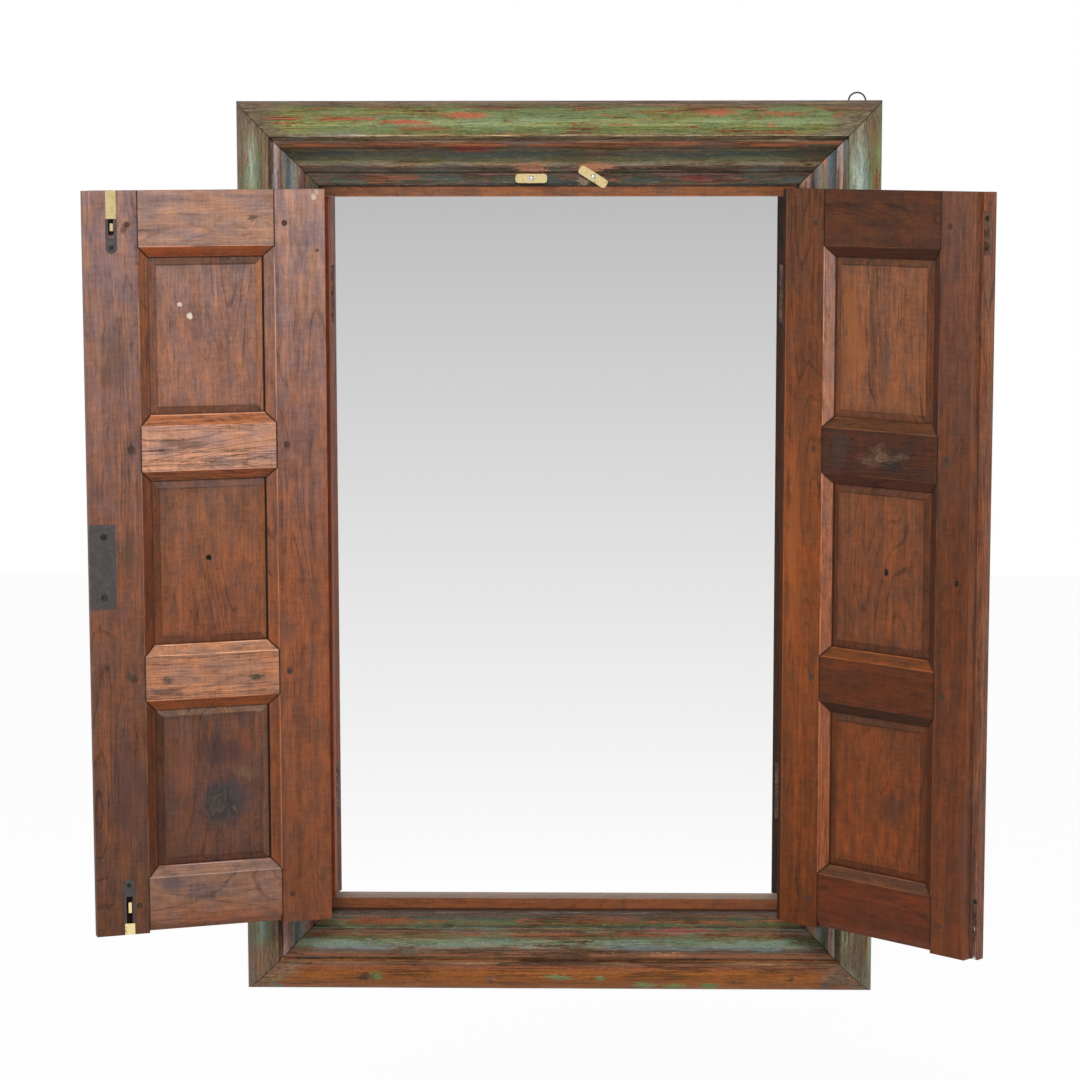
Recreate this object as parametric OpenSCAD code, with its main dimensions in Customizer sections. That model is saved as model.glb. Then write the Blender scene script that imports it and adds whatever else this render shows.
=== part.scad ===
// Wall mirror made from an old panelled window. A mitred, moulded frame holds the
// glass, and two three-panel leaves hang in front of it on butt hinges.
// Origin: centre of the back. +X right, +Y into the wall, +Z up. Millimetres.
// Leaf coordinates: X from the hinge edge, Y from the outside face inwards, Z as above.

/* [Opening] */
// Clear width between the jambs
opening_w = 606; // [520:2:760]
// Clear height between head and sill
opening_h = 944; // [880:2:1100]

/* [Frame moulding, outward from the opening] */
// Flat land beside the opening
flat_w = 18; // [16:0.5:24]
// Width of the square step
step_w = 2; // [1:0.5:4]
// Height of the square step above the flat
step_h = 2.5; // [1.5:0.5:4]
// Width of the hollow
cove_w = 28; // [24:1:34]
// Height of the hollow's outer edge above the flat
cove_h = 9; // [7:0.5:10]
// Radius of the hollow
cove_r = 23; // [20:1:34]
// Radius of the round bead
bead_r = 5; // [4.5:0.5:6.5]
// Height of the bead's centre above the flat
bead_h = 8; // [7:0.5:9]
// How far the hollow runs into the bead
bead_sink = 1; // [0.5:0.5:2]
// Width of the groove beside the bead
quirk_w = 5.5; // [4:0.5:7]
// Height of the groove's floor above the flat
quirk_h = 5; // [3:0.5:7]
// Width of the narrow top fillet
fillet_w = 1; // [0.5:0.5:3]
// Height of the fillet above the flat
crown_h = 14; // [14:0.5:18]
// Radius of the big outer round
ovolo_r = 43.5; // [40:0.5:50]
// Width of the rebate behind the opening's edge
rebate_w = 10; // [8:0.5:14]

/* [Frame corner joints] */
// Distance of a corner tenon from the opening's edge
corner_tenon_in = 20; // [16:1:24]
// Width of a corner tenon
corner_tenon_w = 40; // [30:1:44]
// Thickness of a corner tenon
corner_tenon_t = 14; // [10:1:16]
// Depth of its back face from the wall
corner_tenon_d = 16; // [12:1:18]
// Reach of a corner tenon past the opening's edge
corner_tenon_len = 80; // [70:1:85]
// Radius of a corner peg
corner_peg_r = 4; // [3:0.5:5]
// Length of a corner peg
corner_peg_len = 36; // [32:1:40]

/* [Glass and its strips] */
// Thickness of the backing board
board_t = 8; // [6:0.5:12]
// Thickness of the mirror glass
glass_t = 5; // [3:0.5:6]
// Gap round the glass
glass_gap = 0.8; // [0.5:0.1:1]
// Gap round the backing board
board_gap = 0.5; // [0.2:0.1:0.8]
// Depth of the strips in front of the glass
strip_d = 16; // [12:1:20]
// Height of the top and bottom strips
strip_h = 14; // [10:1:18]
// Width of the side strips
strip_w = 9; // [7:0.5:14]
// Space between the strips and a closed leaf
stop_gap = 2; // [1:0.5:4]

/* [Leaves] */
// Thickness of a leaf
leaf_t = 25; // [23:0.5:30]
// Gap above a closed leaf
top_gap = 3; // [2.5:0.5:5]
// Gap below a closed leaf
bottom_gap = 1; // [1:0.5:4]
// Gap between jamb and leaf at the hinges
hinge_gap = 1.5; // [1.2:0.1:2]
// Gap between the leaves where they meet
meeting_gap = 3; // [2:0.5:5]
// Width of the rebates where the leaves lap
lap_w = 11; // [8:0.5:14]
// Thickness of the right leaf's lapping half
lap_t = 11.8; // [10:0.1:12.5]
// Gap between the lapping halves
lap_gap = 0.6; // [0.4:0.1:1.2]
// Angle at which the left leaf stands open
left_open = 161; // [150:1:170]
// Angle at which the right leaf stands open
right_open = 138; // [120:1:170]

/* [Stiles and rails] */
// Width of a hinge stile
hinge_stile_w = 78; // [72:0.5:86]
// Width of the left leaf's meeting stile
left_meeting_w = 80.5; // [76:0.5:90]
// Width of the right leaf's meeting stile
right_meeting_w = 75.5; // [70:0.5:90]
// Height of the top rails
top_rail_h = 82.5; // [78:0.5:90]
// Height of the middle rails
mid_rail_h = 83; // [76:0.5:90]
// Height of the bottom rails
bottom_rail_h = 84.5; // [80:0.5:92]
// How far the bottom rails stop above the stiles' ends
rail_short = 2.5; // [1:0.5:5]
// Height of the bevel under the bottom rails
drip_h = 9; // [5:0.5:12]
// Depth of the bevel under the bottom rails
drip_d = 4; // [2:0.5:8]
// Height of the left leaf's top panel opening
left_top_panel_h = 196.5; // [180:0.5:210]
// Height of the left leaf's middle panel opening
left_middle_panel_h = 208.5; // [190:0.5:220]
// Height of the right leaf's top panel opening
right_top_panel_h = 200.5; // [180:0.5:210]
// Height of the right leaf's middle panel opening
right_middle_panel_h = 208; // [190:0.5:220]
// Width of the chamfer round each panel, on the inside
chamfer_w = 13; // [10:0.5:15]
// Depth of that chamfer
chamfer_d = 7; // [4:0.5:8]
// Chamfer round each panel, on the outside
outer_chamfer = 5; // [2:0.5:6]
// Thickness of a tenon
tenon_t = 10; // [8:0.5:11]
// Length of a tenon
tenon_len = 45; // [35:1:50]
// Distance from a rail's edge to its tenon
tenon_shoulder = 6; // [4:0.5:8]
// Distance from the top of a top rail to its tenon
haunch = 20; // [12:1:24]
// Play round a tenon
tenon_play = 0.1; // [0.05:0.05:0.3]
// Radius of a tenon peg
peg_r = 3.75; // [3:0.25:4.5]
// Distance of a peg from the stile's inner flat edge
peg_in = 13; // [10:0.5:16]

/* [Panels] */
// Thickness of a panel's tongue
tongue_t = 7; // [5:0.5:8]
// Depth of a panel's edge below the inside face
panel_depth = 9.5; // [8.5:0.5:11]
// How far a tongue enters its groove
tongue_in = 7; // [5:0.5:8]
// Depth of a groove beyond the tongue
groove_spare = 1; // [0.5:0.5:2]
// Play across a tongue in its groove
tongue_play = 0.1; // [0.05:0.05:0.4]
// Width of the sloping margin round a panel's field
margin_w = 9.5; // [7:0.5:12]
// Rise of the field above the panel's edge
field_rise = 3.5; // [2:0.5:5]
// Gap between that margin and the frame of the leaf
margin_gap = 0.8; // [0.5:0.1:1.5]

/* [Hinges] */
// Height of the hinges above and below the middle
hinge_z = 330; // [300:1:340]
// Length of a hinge
hinge_len = 75; // [60:1:90]
// Knuckles on a hinge
knuckles = 5; // [3:2:5]
// Radius of a knuckle
knuckle_r = 4.2; // [3.8:0.1:4.3]
// Distance of the pin's centre in front of the leaf
pivot_proud = 4.5; // [4.4:0.1:6]
// End gap between two knuckles
knuckle_gap = 0.3; // [0.2:0.1:0.6]
// Thickness of a hinge plate
plate_t = 1.6; // [1.2:0.1:1.8]
// Gap between the closed plates
plate_gap = 0.7; // [0.5:0.1:0.9]
// Depth of a hinge from its pin to the plate's edge
hinge_d = 24; // [18:1:26]
// Distance of a plate's edge behind the leaf's outside face
plate_set_in = 0.3; // [0.2:0.1:1]
// Distance of a hinge's end screws from its ends
hinge_screw_in = 11; // [8:0.5:16]
// Radius of a hinge pin
pin_r = 2; // [1.5:0.1:2.4]
// Running clearance round a hinge pin
pin_fit = 0.05; // [0.02:0.01:0.1]
// Radius of a pin's head
pin_head_r = 3; // [2.8:0.1:4]
// Thickness of a pin's head
pin_head_t = 2; // [1:0.5:3]

/* [Screws] */
// Shank radius of the small screws
screw_r = 1.6; // [1.2:0.1:2]
// Head radius of the small screws
screw_head_r = 3.2; // [3:0.1:3.6]
// Length of the small screws
screw_len = 16; // [12:1:18]
// Shank radius of the large screws
big_screw_r = 2.2; // [1.8:0.1:2.6]
// Head radius of the large screws
big_head_r = 4.6; // [4:0.1:5]
// Length of the large screws
big_screw_len = 14; // [12:1:16]
// Play between a screw and the wood or plate round it
screw_play = 0.05; // [0.02:0.01:0.1]
// Width of a screwdriver slot
slot_w = 0.9; // [0.6:0.1:1.2]
// Screws along each long side of the backing board
side_screws = 5; // [3:1:8]
// Screws along its top and along its bottom
end_screws = 3; // [2:1:5]

/* [Lock plate] */
// Height of the plate
lock_h = 107; // [90:1:120]
// Width of the plate, from the meeting edge
lock_w = 33; // [26:0.5:34]
// Thickness of the plate
lock_t = 2; // [1.5:0.1:2.5]
// Height of the plate's middle above the frame's middle
lock_z = 1.5; // [-20:0.5:20]
// Distance of its screws from the plate's ends
lock_screw_in = 15.4; // [12:0.2:20]
// Distance of its screws from the meeting edge
lock_screw_edge = 18; // [14:0.5:22]

/* [Flush bolts] */
// Distance of the top bolt from the meeting edge
top_bolt_edge = 34.8; // [32:0.2:40]
// Distance of the bottom bolt from the meeting edge
bottom_bolt_edge = 42; // [32:0.5:46]
// Width of a bolt's bar
bolt_w = 13; // [11:0.5:14]
// Thickness of a bolt's bar
bolt_t = 4.2; // [3.5:0.1:5]
// Play of a bolt in its groove
bolt_play = 0.3; // [0.2:0.05:0.5]
// Thickness of a bolt's plate
bolt_plate_t = 1.5; // [1:0.1:2]
// Width of a bolt's plate
bolt_plate_w = 14.5; // [14.5:0.5:18]
// Width of the plate's slot
bolt_slot_w = 8.5; // [7.5:0.5:9]
// Width of a bolt's tail behind the plate
tail_w = 6.5; // [5:0.5:7]
// How far a bolt slides out
bolt_throw = 12; // [8:1:16]
// How far a bolt's knob stands above the plate
knob_proud = 3; // [2:0.5:5]
// Length of the top bolt's bar
top_bar_len = 34.5; // [28:0.5:38]
// Length of the top bolt's plate
top_plate_len = 42.4; // [40:0.2:50]
// Length of the bottom bolt's bar
bottom_bar_len = 14.5; // [12:0.5:20]
// Length of the bottom bolt's plate
bottom_plate_len = 56.8; // [54:0.2:64]
// Length of the slot in the top bolt's plate
top_slot_len = 23; // [18:0.5:25]
// Length of the slot in the bottom bolt's plate
bottom_slot_len = 34.8; // [30:0.2:38]
// Distance of the top bolt's knob from its bar
top_knob_in = 5.5; // [3:0.5:8]
// Length of the top bolt's knob
top_knob_len = 9.4; // [7:0.2:10]
// Distance of the bottom bolt's knob from its bar
bottom_knob_in = 14.5; // [8:0.5:16]
// Length of the bottom bolt's knob
bottom_knob_len = 13.7; // [9:0.1:15]
// Width of a knob
knob_w = 4; // [3:0.5:6]
// Gap between a bar and the end of its plate
bar_gap = 0.4; // [0.3:0.1:1]

/* [Right leaf's edge fittings] */
// Width of the edge bolt's bar
edge_bar_w = 5; // [4:0.5:6]
// Thickness of the edge bolt's bar
edge_bar_t = 3.5; // [3:0.1:5]
// Length of the edge bolt's bar
edge_bar_len = 22.5; // [18:0.5:28]
// Width of the edge bolt's plate
edge_plate_w = 7.5; // [7:0.5:8]
// Length of the edge bolt's plate
edge_plate_len = 55; // [50:1:60]
// Width of the slot in the edge bolt's plate
edge_slot_w = 4; // [3.5:0.25:4.5]
// Length of that slot
edge_slot_len = 34; // [28:1:38]
// Length of the edge bolt's knob
edge_knob_len = 9; // [6:0.5:12]
// Width of the edge bolt's knob
edge_knob_w = 2.5; // [2:0.25:3]
// Height of the edge bolt's knob above its plate
edge_knob_proud = 0.3; // [0.1:0.1:0.4]
// Length of the keep plate near the top
keep_len = 52.7; // [44:0.1:60]
// Width of the keep plate
keep_w = 8.5; // [7:0.5:9]
// Distance of the keep plate from the leaf's top
keep_in = 23; // [16:0.5:34]
// Thickness of the keep plate
keep_t = 1.5; // [1:0.1:2]
// Distance of the keep plate's screws from its ends
keep_screw_in = 8; // [5:0.5:14]
// Distance of the edge bolt's screw from its plate's end
edge_screw_in = 5.5; // [4:0.5:8]
// Head radius of the screws in these plates
keep_head_r = 2.6; // [2.2:0.1:3]
// Length of the screws in these plates
edge_screw_len = 9; // [7:0.5:10]

/* [Turn buttons] */
// Length of a turn button
button_len = 40; // [36:0.5:42]
// Width of a turn button
button_w = 11.5; // [9:0.5:12]
// Radius of its corners
button_corner_r = 4; // [3:0.5:4.5]
// Thickness of a turn button
button_t = 1.6; // [1:0.1:2.5]
// Height of the raised lips at its ends
button_lip = 1.4; // [0.4:0.1:2]
// Width of the raised lips
button_lip_w = 1.8; // [1:0.1:4]
// Gap between a button and the step that it swings over
button_gap = 0.3; // [0.2:0.1:0.5]
// Radius of the washer that carries a button
washer_r = 4.5; // [3.5:0.1:5]
// Gap between washer and button
washer_gap = 0.1; // [0.05:0.05:0.2]
// Place of the left button from the middle
left_button_x = -34; // [-60:0.5:-26]
// Place of the right button from the middle
right_button_x = 44; // [26:0.5:60]
// Height of the left button above the opening
left_button_z = 9.5; // [8:0.1:10]
// Height of the right button above the opening
right_button_z = 11.5; // [11.5:0.1:12]
// Tilt of the right button
button_tilt = 32; // [0:1:34]
// Radius of a button's domed screw head
dome_r = 3.6; // [3:0.1:5]
// Height of the dome
dome_h = 1.8; // [1:0.1:2.5]
// Length of a button's screw in the wood
button_screw_len = 20; // [14:1:24]

/* [Hangers] */
// Distance of each hanger in from the frame's side
hanger_in = 30; // [25:1:50]
// Distance of a ring's pivot below the frame's top
ring_pivot_in = 9; // [8:0.5:12]
// Radius of the ring's wire
wire_r = 1.1; // [0.9:0.1:1.3]
// Outer width of a ring
ring_w = 24; // [20:0.5:28]
// Length of a ring's straight legs
ring_leg = 8; // [4:0.5:10]
// Thickness of a strap
strap_t = 1.2; // [0.8:0.1:1.5]
// Width of a strap
strap_w = 16; // [12:0.5:17]
// Length of a strap below the pivot
strap_len = 40; // [34:1:50]
// Distance of a strap's lowest screw from its end
strap_screw_in = 6; // [5:0.5:9]
// Distance between a strap's screws
strap_screw_pitch = 12; // [8:0.5:14]
// Running clearance of the ring in its strap
ring_fit = 0.05; // [0.02:0.01:0.1]
// Play round a hanger in its recess
hanger_play = 0.5; // [0.3:0.1:1]

/* [Hidden] */
$fn = 48;
// How far a cut runs past the face that it opens
over = 1;
// Gap under a sliding bolt, and behind a ring's strap
floor_gap = 0.1;
// Overlap that joins a hinge's webs to its plate
web_overlap = 0.5;

green = "darkseagreen";
teak = "sienna";
light_teak = "peru";
iron = "dimgray";
brass = "goldenrod";
steel = "silver";

// Frame, worked out from the opening and the moulding
half_w = opening_w / 2;
half_h = opening_h / 2;
leaf_back = board_t + glass_t + strip_d + stop_gap;
flat_d = leaf_back + leaf_t;
cove_x = flat_w + step_w;
bead_x = cove_x + cove_w;
quirk_x = bead_x + 2 * bead_r - bead_sink;
fillet_x = quirk_x + quirk_w;
ovolo_x = fillet_x + fillet_w;
face_w = ovolo_x + ovolo_r;
crown_d = flat_d + crown_h;
ovolo_d = crown_d - ovolo_r;
frame_half_w = half_w + face_w;
frame_half_h = half_h + face_w;
// Centre of the hollow: on the normal through the middle of its chord
cove_rise = cove_h - step_h;
cove_chord = norm([cove_w, cove_rise]);
cove_lift = sqrt(cove_r * cove_r - cove_chord * cove_chord / 4);
cove_cx = cove_x + cove_w / 2 - cove_lift * cove_rise / cove_chord;
cove_cd = flat_d + (step_h + cove_h) / 2 + cove_lift * cove_w / cove_chord;
corner_x = half_w + corner_tenon_in + corner_tenon_w / 2;
corner_z = half_h + corner_tenon_len - corner_tenon_w / 2;

// Leaves, worked out from the opening and the gaps
pivot_x = half_w - hinge_gap / 2;
pivot_d = flat_d + pivot_proud;
leaf_w = half_w - hinge_gap + (lap_w - meeting_gap) / 2;
leaf_top = half_h - top_gap;
leaf_foot = -half_h + bottom_gap;
left_u = [hinge_stile_w, leaf_w - left_meeting_w];
right_u = [hinge_stile_w, leaf_w - right_meeting_w];
left_open_z = panel_openings(left_top_panel_h, left_middle_panel_h);
right_open_z = panel_openings(right_top_panel_h, right_middle_panel_h);
tongue_v = leaf_t - panel_depth - tongue_t;
tenon_v = (leaf_t - tenon_t) / 2;
shoulder_u = leaf_w - lap_w;

// Hinges and fittings
plate_in = plate_gap / 2 + plate_t;
plate_start = pivot_proud + plate_set_in;
knuckle_len = hinge_len / knuckles;
pin_len = hinge_len + knuckle_gap;
head_cone = 1.5;
hinge_screw_pitch = hinge_len / 2 - hinge_screw_in;
hinge_screw_v = (plate_start + hinge_d) / 2;
tail_t = bolt_t - bolt_plate_t - bolt_play;
edge_tail_t = edge_bar_t - keep_t - bolt_play;
edge_u = shoulder_u + lap_w / 2;
tail_end_gap = 4;
button_lift = step_h + button_gap;
hanger_x = frame_half_w - hanger_in;
ring_r = ring_w / 2 - wire_r;
ring_d = wire_r + ring_fit + strap_t + floor_gap / 2;
hanger_floor = 2 * ring_d;
ring_z = frame_half_h - ring_pivot_in;

// The three panel openings of a leaf, each [low, high], from the top down
function panel_openings(top_h, middle_h) =
  let (z1 = leaf_top - top_rail_h,
    z2 = z1 - top_h,
    z3 = z2 - mid_rail_h,
    z4 = z3 - middle_h,
    z5 = z4 - mid_rail_h)
  [[z2, z1], [z4, z3], [leaf_foot + bottom_rail_h, z5]];

// The four rails of a leaf, each [low, high, foot below, foot above], from the top down
function rails_of(o) = [
  [o[0][1], leaf_top, 1, 0],
  [o[1][1], o[0][0], 1, 1],
  [o[2][1], o[1][0], 1, 1],
  [leaf_foot + rail_short, o[2][0], 0, 1]];

// Low and high end of a rail's tenon
function tenon_low(r) = r[0] + r[2] * chamfer_w + tenon_shoulder;
function tenon_high(r) = r[1] - (r[3] == 1 ? chamfer_w + tenon_shoulder : haunch);
function peg_z(r) = (tenon_low(r) + tenon_high(r)) / 2;

// A stile's inner edge: it steps out beside each panel, with mitred ends
function inner_edge(flat, foot, o) =
  [for (p = o) each [[flat, p[1] + chamfer_w], [foot, p[1]], [foot, p[0]],
    [flat, p[0] - chamfer_w]]];

// ---------- shapes used more than once ----------

// A cut or block given by its low and high corners
module box(a, b) {
  translate(a) cube([b[0] - a[0], b[1] - a[1], b[2] - a[2]]);
}

// Countersunk screw: flat of its head at the origin, pointing down
module screw(r, head_r, len) {
  point = 2 * r;
  difference() {
    union() {
      translate([0, 0, -head_cone]) cylinder(r1 = r, r2 = head_r, h = head_cone);
      translate([0, 0, point - len]) cylinder(r = r, h = len - point);
      translate([0, 0, -len]) cylinder(r1 = 0.3, r2 = r, h = point);
    }
    translate([-head_r - over, -slot_w / 2, -head_cone / 2])
      cube([2 * (head_r + over), slot_w, over + head_cone]);
  }
}

module screw_bore(r, head_r, len) {
  cylinder(r = head_r + screw_play, h = over);
  translate([0, 0, -head_cone])
    cylinder(r1 = r + screw_play, r2 = head_r + screw_play, h = head_cone);
  translate([0, 0, -len - screw_play]) cylinder(r = r + screw_play, h = len + screw_play);
}

// ---------- frame ----------

// Section of a frame member: x outward from the opening, y forward from the wall
module frame_section() {
  difference() {
    union() {
      square([cove_x, flat_d]);
      translate([flat_w, 0]) square([step_w, flat_d + step_h]);
      difference() {
        translate([cove_x, 0]) square([cove_w, flat_d + cove_h]);
        translate([cove_cx, cove_cd]) circle(r = cove_r, $fn = 96);
      }
      translate([bead_x, 0]) square([fillet_x - bead_x, flat_d + quirk_h]);
      translate([quirk_x - bead_r, flat_d + bead_h]) circle(r = bead_r);
      translate([fillet_x, 0]) square([fillet_w, crown_d]);
      translate([fillet_x, 0]) square([fillet_w + ovolo_r, ovolo_d]);
      intersection() {
        translate([ovolo_x, ovolo_d]) circle(r = ovolo_r, $fn = 120);
        translate([ovolo_x, ovolo_d]) square(ovolo_r + over);
      }
    }
    translate([-over, -over]) square([rebate_w + over, board_t + over]);
  }
}

// Member above the opening: the section run along X and mitred at both ends
module moulded_member(length, edge) {
  reach = length / 2;
  translate([0, 0, edge]) intersection() {
    rotate([0, -90, 180])
      translate([0, 0, -reach - face_w])
        linear_extrude(2 * (reach + face_w)) frame_section();
    rotate([90, 0, 0]) translate([0, 0, -over]) linear_extrude(crown_d + 2 * over)
      polygon([[over - reach, -over], [reach - over, -over],
        [reach + face_w + over, face_w + over], [-reach - face_w - over, face_w + over]]);
  }
}

// Tenon at the end of a jamb, or its mortise with some play
module corner_tenon(side, end, play) {
  low = half_h + corner_tenon_in / 2;
  high = half_h + corner_tenon_len + play;
  inner = half_w + corner_tenon_in - play;
  outer = half_w + corner_tenon_in + corner_tenon_w + play;
  mirror([side < 0 ? 1 : 0, 0, 0]) mirror([0, 0, end < 0 ? 1 : 0])
    box([inner, -corner_tenon_d - corner_tenon_t - play, low],
      [outer, -corner_tenon_d + play, high]);
}

module corner_peg(side, end, play) {
  translate([side * corner_x, over * sign(play), end * corner_z]) rotate([90, 0, 0])
    cylinder(r = corner_peg_r + play, h = corner_peg_len + 2 * over * sign(play));
}

// Mortises and peg bores at both ends of the head or the sill
module corner_cuts(end) {
  for (side = [-1, 1]) {
    corner_tenon(side, end, tenon_play);
    corner_peg(side, end, screw_play);
  }
}

// Pocket in the head or sill for a bolt's bar, when its leaf is closed
module bolt_pocket(x, v, w, t, end) {
  deep = bolt_throw + over;
  d = flat_d - v;
  mirror([0, 0, end < 0 ? 1 : 0])
    box([x - w / 2 - bolt_play, -d - t - bolt_play, half_h - over],
      [x + w / 2 + bolt_play, bolt_play - d, half_h + deep]);
}

module frame_head() {
  color(green) difference() {
    moulded_member(opening_w, half_h);
    corner_cuts(1);
    bolt_pocket(-pivot_x + hinge_gap / 2 + leaf_w - top_bolt_edge, leaf_t, bolt_w, bolt_t, 1);
    button_screw_at(left_button_x, left_button_z, screw_play);
    button_screw_at(right_button_x, right_button_z, screw_play);
    for (side = [-1, 1]) hanger_recess(side);
    for (side = [-1, 1]) hanger_screws(side) screw_bore(screw_r, screw_head_r, screw_len);
    board_screws_at(0, 1) screw_bore(screw_r, screw_head_r, screw_len);
  }
}

module frame_sill() {
  edge_x = pivot_x - hinge_gap / 2 - edge_u;
  color(green) difference() {
    rotate([0, 180, 0]) moulded_member(opening_w, half_h);
    corner_cuts(-1);
    bolt_pocket(-pivot_x + hinge_gap / 2 + leaf_w - bottom_bolt_edge, leaf_t, bolt_w, bolt_t, -1);
    bolt_pocket(edge_x, lap_t, edge_bar_w, edge_bar_t, -1);
    board_screws_at(0, -1) screw_bore(screw_r, screw_head_r, screw_len);
  }
}

module jamb(side) {
  difference() {
    union() {
      rotate([0, 90 * side, 0]) moulded_member(opening_h, half_w);
      for (end = [-1, 1]) corner_tenon(side, end, 0);
    }
    for (end = [-1, 1]) corner_peg(side, end, screw_play);
    hanger_recess(side);
    hanger_screws(side) screw_bore(screw_r, screw_head_r, screw_len);
    for (end = [-1, 1]) at_frame_hinge(side, end) {
      hinge_recess();
      hinge_screws_at() screw_bore(screw_r, screw_head_r, screw_len);
    }
    board_screws_at(side, 0) screw_bore(screw_r, screw_head_r, screw_len);
  }
}

module frame_left_jamb() {
  color(green) jamb(-1);
}

module frame_right_jamb() {
  color(green) jamb(1);
}

module frame_pegs() {
  color(teak) for (side = [-1, 1]) for (end = [-1, 1]) corner_peg(side, end, 0);
}

// ---------- glass, strips and board ----------

module strip_across(end) {
  z = end > 0 ? half_h - strip_h : -half_h;
  color(light_teak) translate([-half_w, -board_t - glass_t - strip_d, z])
    cube([opening_w, strip_d, strip_h]);
}

module strip_upright(side) {
  x = side > 0 ? half_w - strip_w : -half_w;
  color(light_teak) translate([x, -board_t - glass_t - strip_d, strip_h - half_h])
    cube([strip_w, strip_d, opening_h - 2 * strip_h]);
}

module strip_top() {
  strip_across(1);
}

module strip_bottom() {
  strip_across(-1);
}

module strip_left() {
  strip_upright(-1);
}

module strip_right() {
  strip_upright(1);
}

module mirror_glass() {
  color("lightsteelblue")
    box([glass_gap - half_w, -board_t - glass_t, glass_gap - half_h],
      [half_w - glass_gap, -board_t, half_h - glass_gap]);
}

module backing_board() {
  edge = rebate_w - board_gap;
  color("burlywood") difference() {
    box([-half_w - edge, -board_t, -half_h - edge], [half_w + edge, 0, half_h + edge]);
    for (side = [-1, 1]) board_screws_at(side, 0) screw_bore(screw_r, screw_head_r, screw_len);
    for (end = [-1, 1]) board_screws_at(0, end) screw_bore(screw_r, screw_head_r, screw_len);
  }
}

// Screws along one edge of the board: side -1 or 1 for the jambs, end -1 or 1 for the rails
module board_screws_at(side, end) {
  upright = side != 0;
  count = upright ? side_screws : end_screws;
  reach = upright ? half_h : half_w;
  pitch = 2 * reach / count;
  for (i = [0 : count - 1]) {
    along = -reach + pitch * (i + 0.5);
    x = upright ? side * (half_w + rebate_w / 2) : along;
    z = upright ? along : end * (half_h + rebate_w / 2);
    translate([x, 0, z]) rotate([-90, 0, 0]) children();
  }
}

module back_screws() {
  color(iron) {
    for (side = [-1, 1]) board_screws_at(side, 0) screw(screw_r, screw_head_r, screw_len);
    for (end = [-1, 1]) board_screws_at(0, end) screw(screw_r, screw_head_r, screw_len);
    for (side = [-1, 1]) hanger_screws(side) screw(screw_r, screw_head_r, screw_len);
  }
}

// ---------- hangers ----------

module at_hanger(side) {
  translate([side * hanger_x, -ring_d, ring_z]) children();
}

// Recess in the head's back for the strap and for the ring, up or down
module hanger_recess(side) {
  half = ring_w / 2 + hanger_play;
  low = ring_leg + ring_w / 2 + 2 * hanger_play;
  floor_y = ring_d - hanger_floor;
  at_hanger(side) {
    box([-half, floor_y, -low], [half, ring_d + over, ring_pivot_in + over]);
    box([-strap_w / 2 - screw_play, floor_y, -strap_len - screw_play],
      [strap_w / 2 + screw_play, ring_d + over, 0]);
  }
}

module hanger_screws(side) {
  plate_y = ring_d - hanger_floor + strap_t;
  for (z = [strap_screw_in, strap_screw_in + strap_screw_pitch])
    at_hanger(side) translate([0, plate_y, z - strap_len]) rotate([-90, 0, 0]) children();
}

// Strap: a plate let into the head, curled round the ring's bar
module hanger_strap(side) {
  floor_y = ring_d - hanger_floor;
  curl_r = wire_r + ring_fit + strap_t;
  color(iron) difference() {
    at_hanger(side) difference() {
      union() {
        translate([-strap_w / 2, 0, 0]) rotate([0, 90, 0]) cylinder(r = curl_r, h = strap_w);
        box([-strap_w / 2, floor_y, -strap_len], [strap_w / 2, floor_y + strap_t, 0]);
      }
      translate([-strap_w / 2 - over, 0, 0]) rotate([0, 90, 0])
        cylinder(r = wire_r + ring_fit, h = strap_w + 2 * over);
    }
    hanger_screws(side) screw_bore(screw_r, screw_head_r, screw_len);
  }
}

// Ring: straight bar, two legs and a half round, standing up from its bar
module hanging_ring() {
  color(iron) {
    translate([-ring_r, 0, 0]) rotate([0, 90, 0]) cylinder(r = wire_r, h = 2 * ring_r);
    for (side = [-1, 1]) translate([side * ring_r, 0, 0]) {
      sphere(r = wire_r);
      cylinder(r = wire_r, h = ring_leg);
    }
    translate([0, 0, ring_leg]) rotate([90, 0, 0]) rotate_extrude(angle = 180, $fn = 96)
      translate([ring_r, 0]) circle(r = wire_r);
  }
}

module left_hanger_strap() {
  hanger_strap(-1);
}

module right_hanger_strap() {
  hanger_strap(1);
}

// The left ring hangs down behind the head, and the right one stands up
module left_hanging_ring() {
  at_hanger(-1) rotate([180, 0, 0]) hanging_ring();
}

module right_hanging_ring() {
  at_hanger(1) hanging_ring();
}

// ---------- turn buttons ----------

// Centre of a button's underside
module at_button(x, z) {
  translate([x, -flat_d - button_lift, half_h + z]) children();
}

// Bore in the head for a button's screw
module button_screw_at(x, z, play) {
  at_button(x, z) rotate([-90, 0, 0])
    cylinder(r = screw_r + play, h = button_screw_len + button_lift + play);
}

// Rectangle with round corners, made of bars and discs so that its corners stay true arcs
module round_bar(len, w, r, t) {
  translate([-len / 2 + r, -w / 2, 0]) cube([len - 2 * r, w, t]);
  translate([-len / 2, -w / 2 + r, 0]) cube([len, w - 2 * r, t]);
  for (x = [-1, 1]) for (y = [-1, 1])
    translate([x * (len / 2 - r), y * (w / 2 - r), 0]) cylinder(r = r, h = t);
}

// Flat brass bar with round corners and a raised lip at each end
module turn_button() {
  half = button_len / 2;
  high = button_t + button_lip;
  color(brass) rotate([90, 0, 0]) difference() {
    round_bar(button_len, button_w, button_corner_r, high);
    translate([button_lip_w - half, -button_w / 2 - over, button_t])
      cube([button_len - 2 * button_lip_w, button_w + 2 * over, high]);
    translate([0, 0, -over]) cylinder(r = screw_r + screw_play, h = button_t + 2 * over);
  }
}

module left_turn_button() {
  at_button(left_button_x, left_button_z) turn_button();
}

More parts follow.
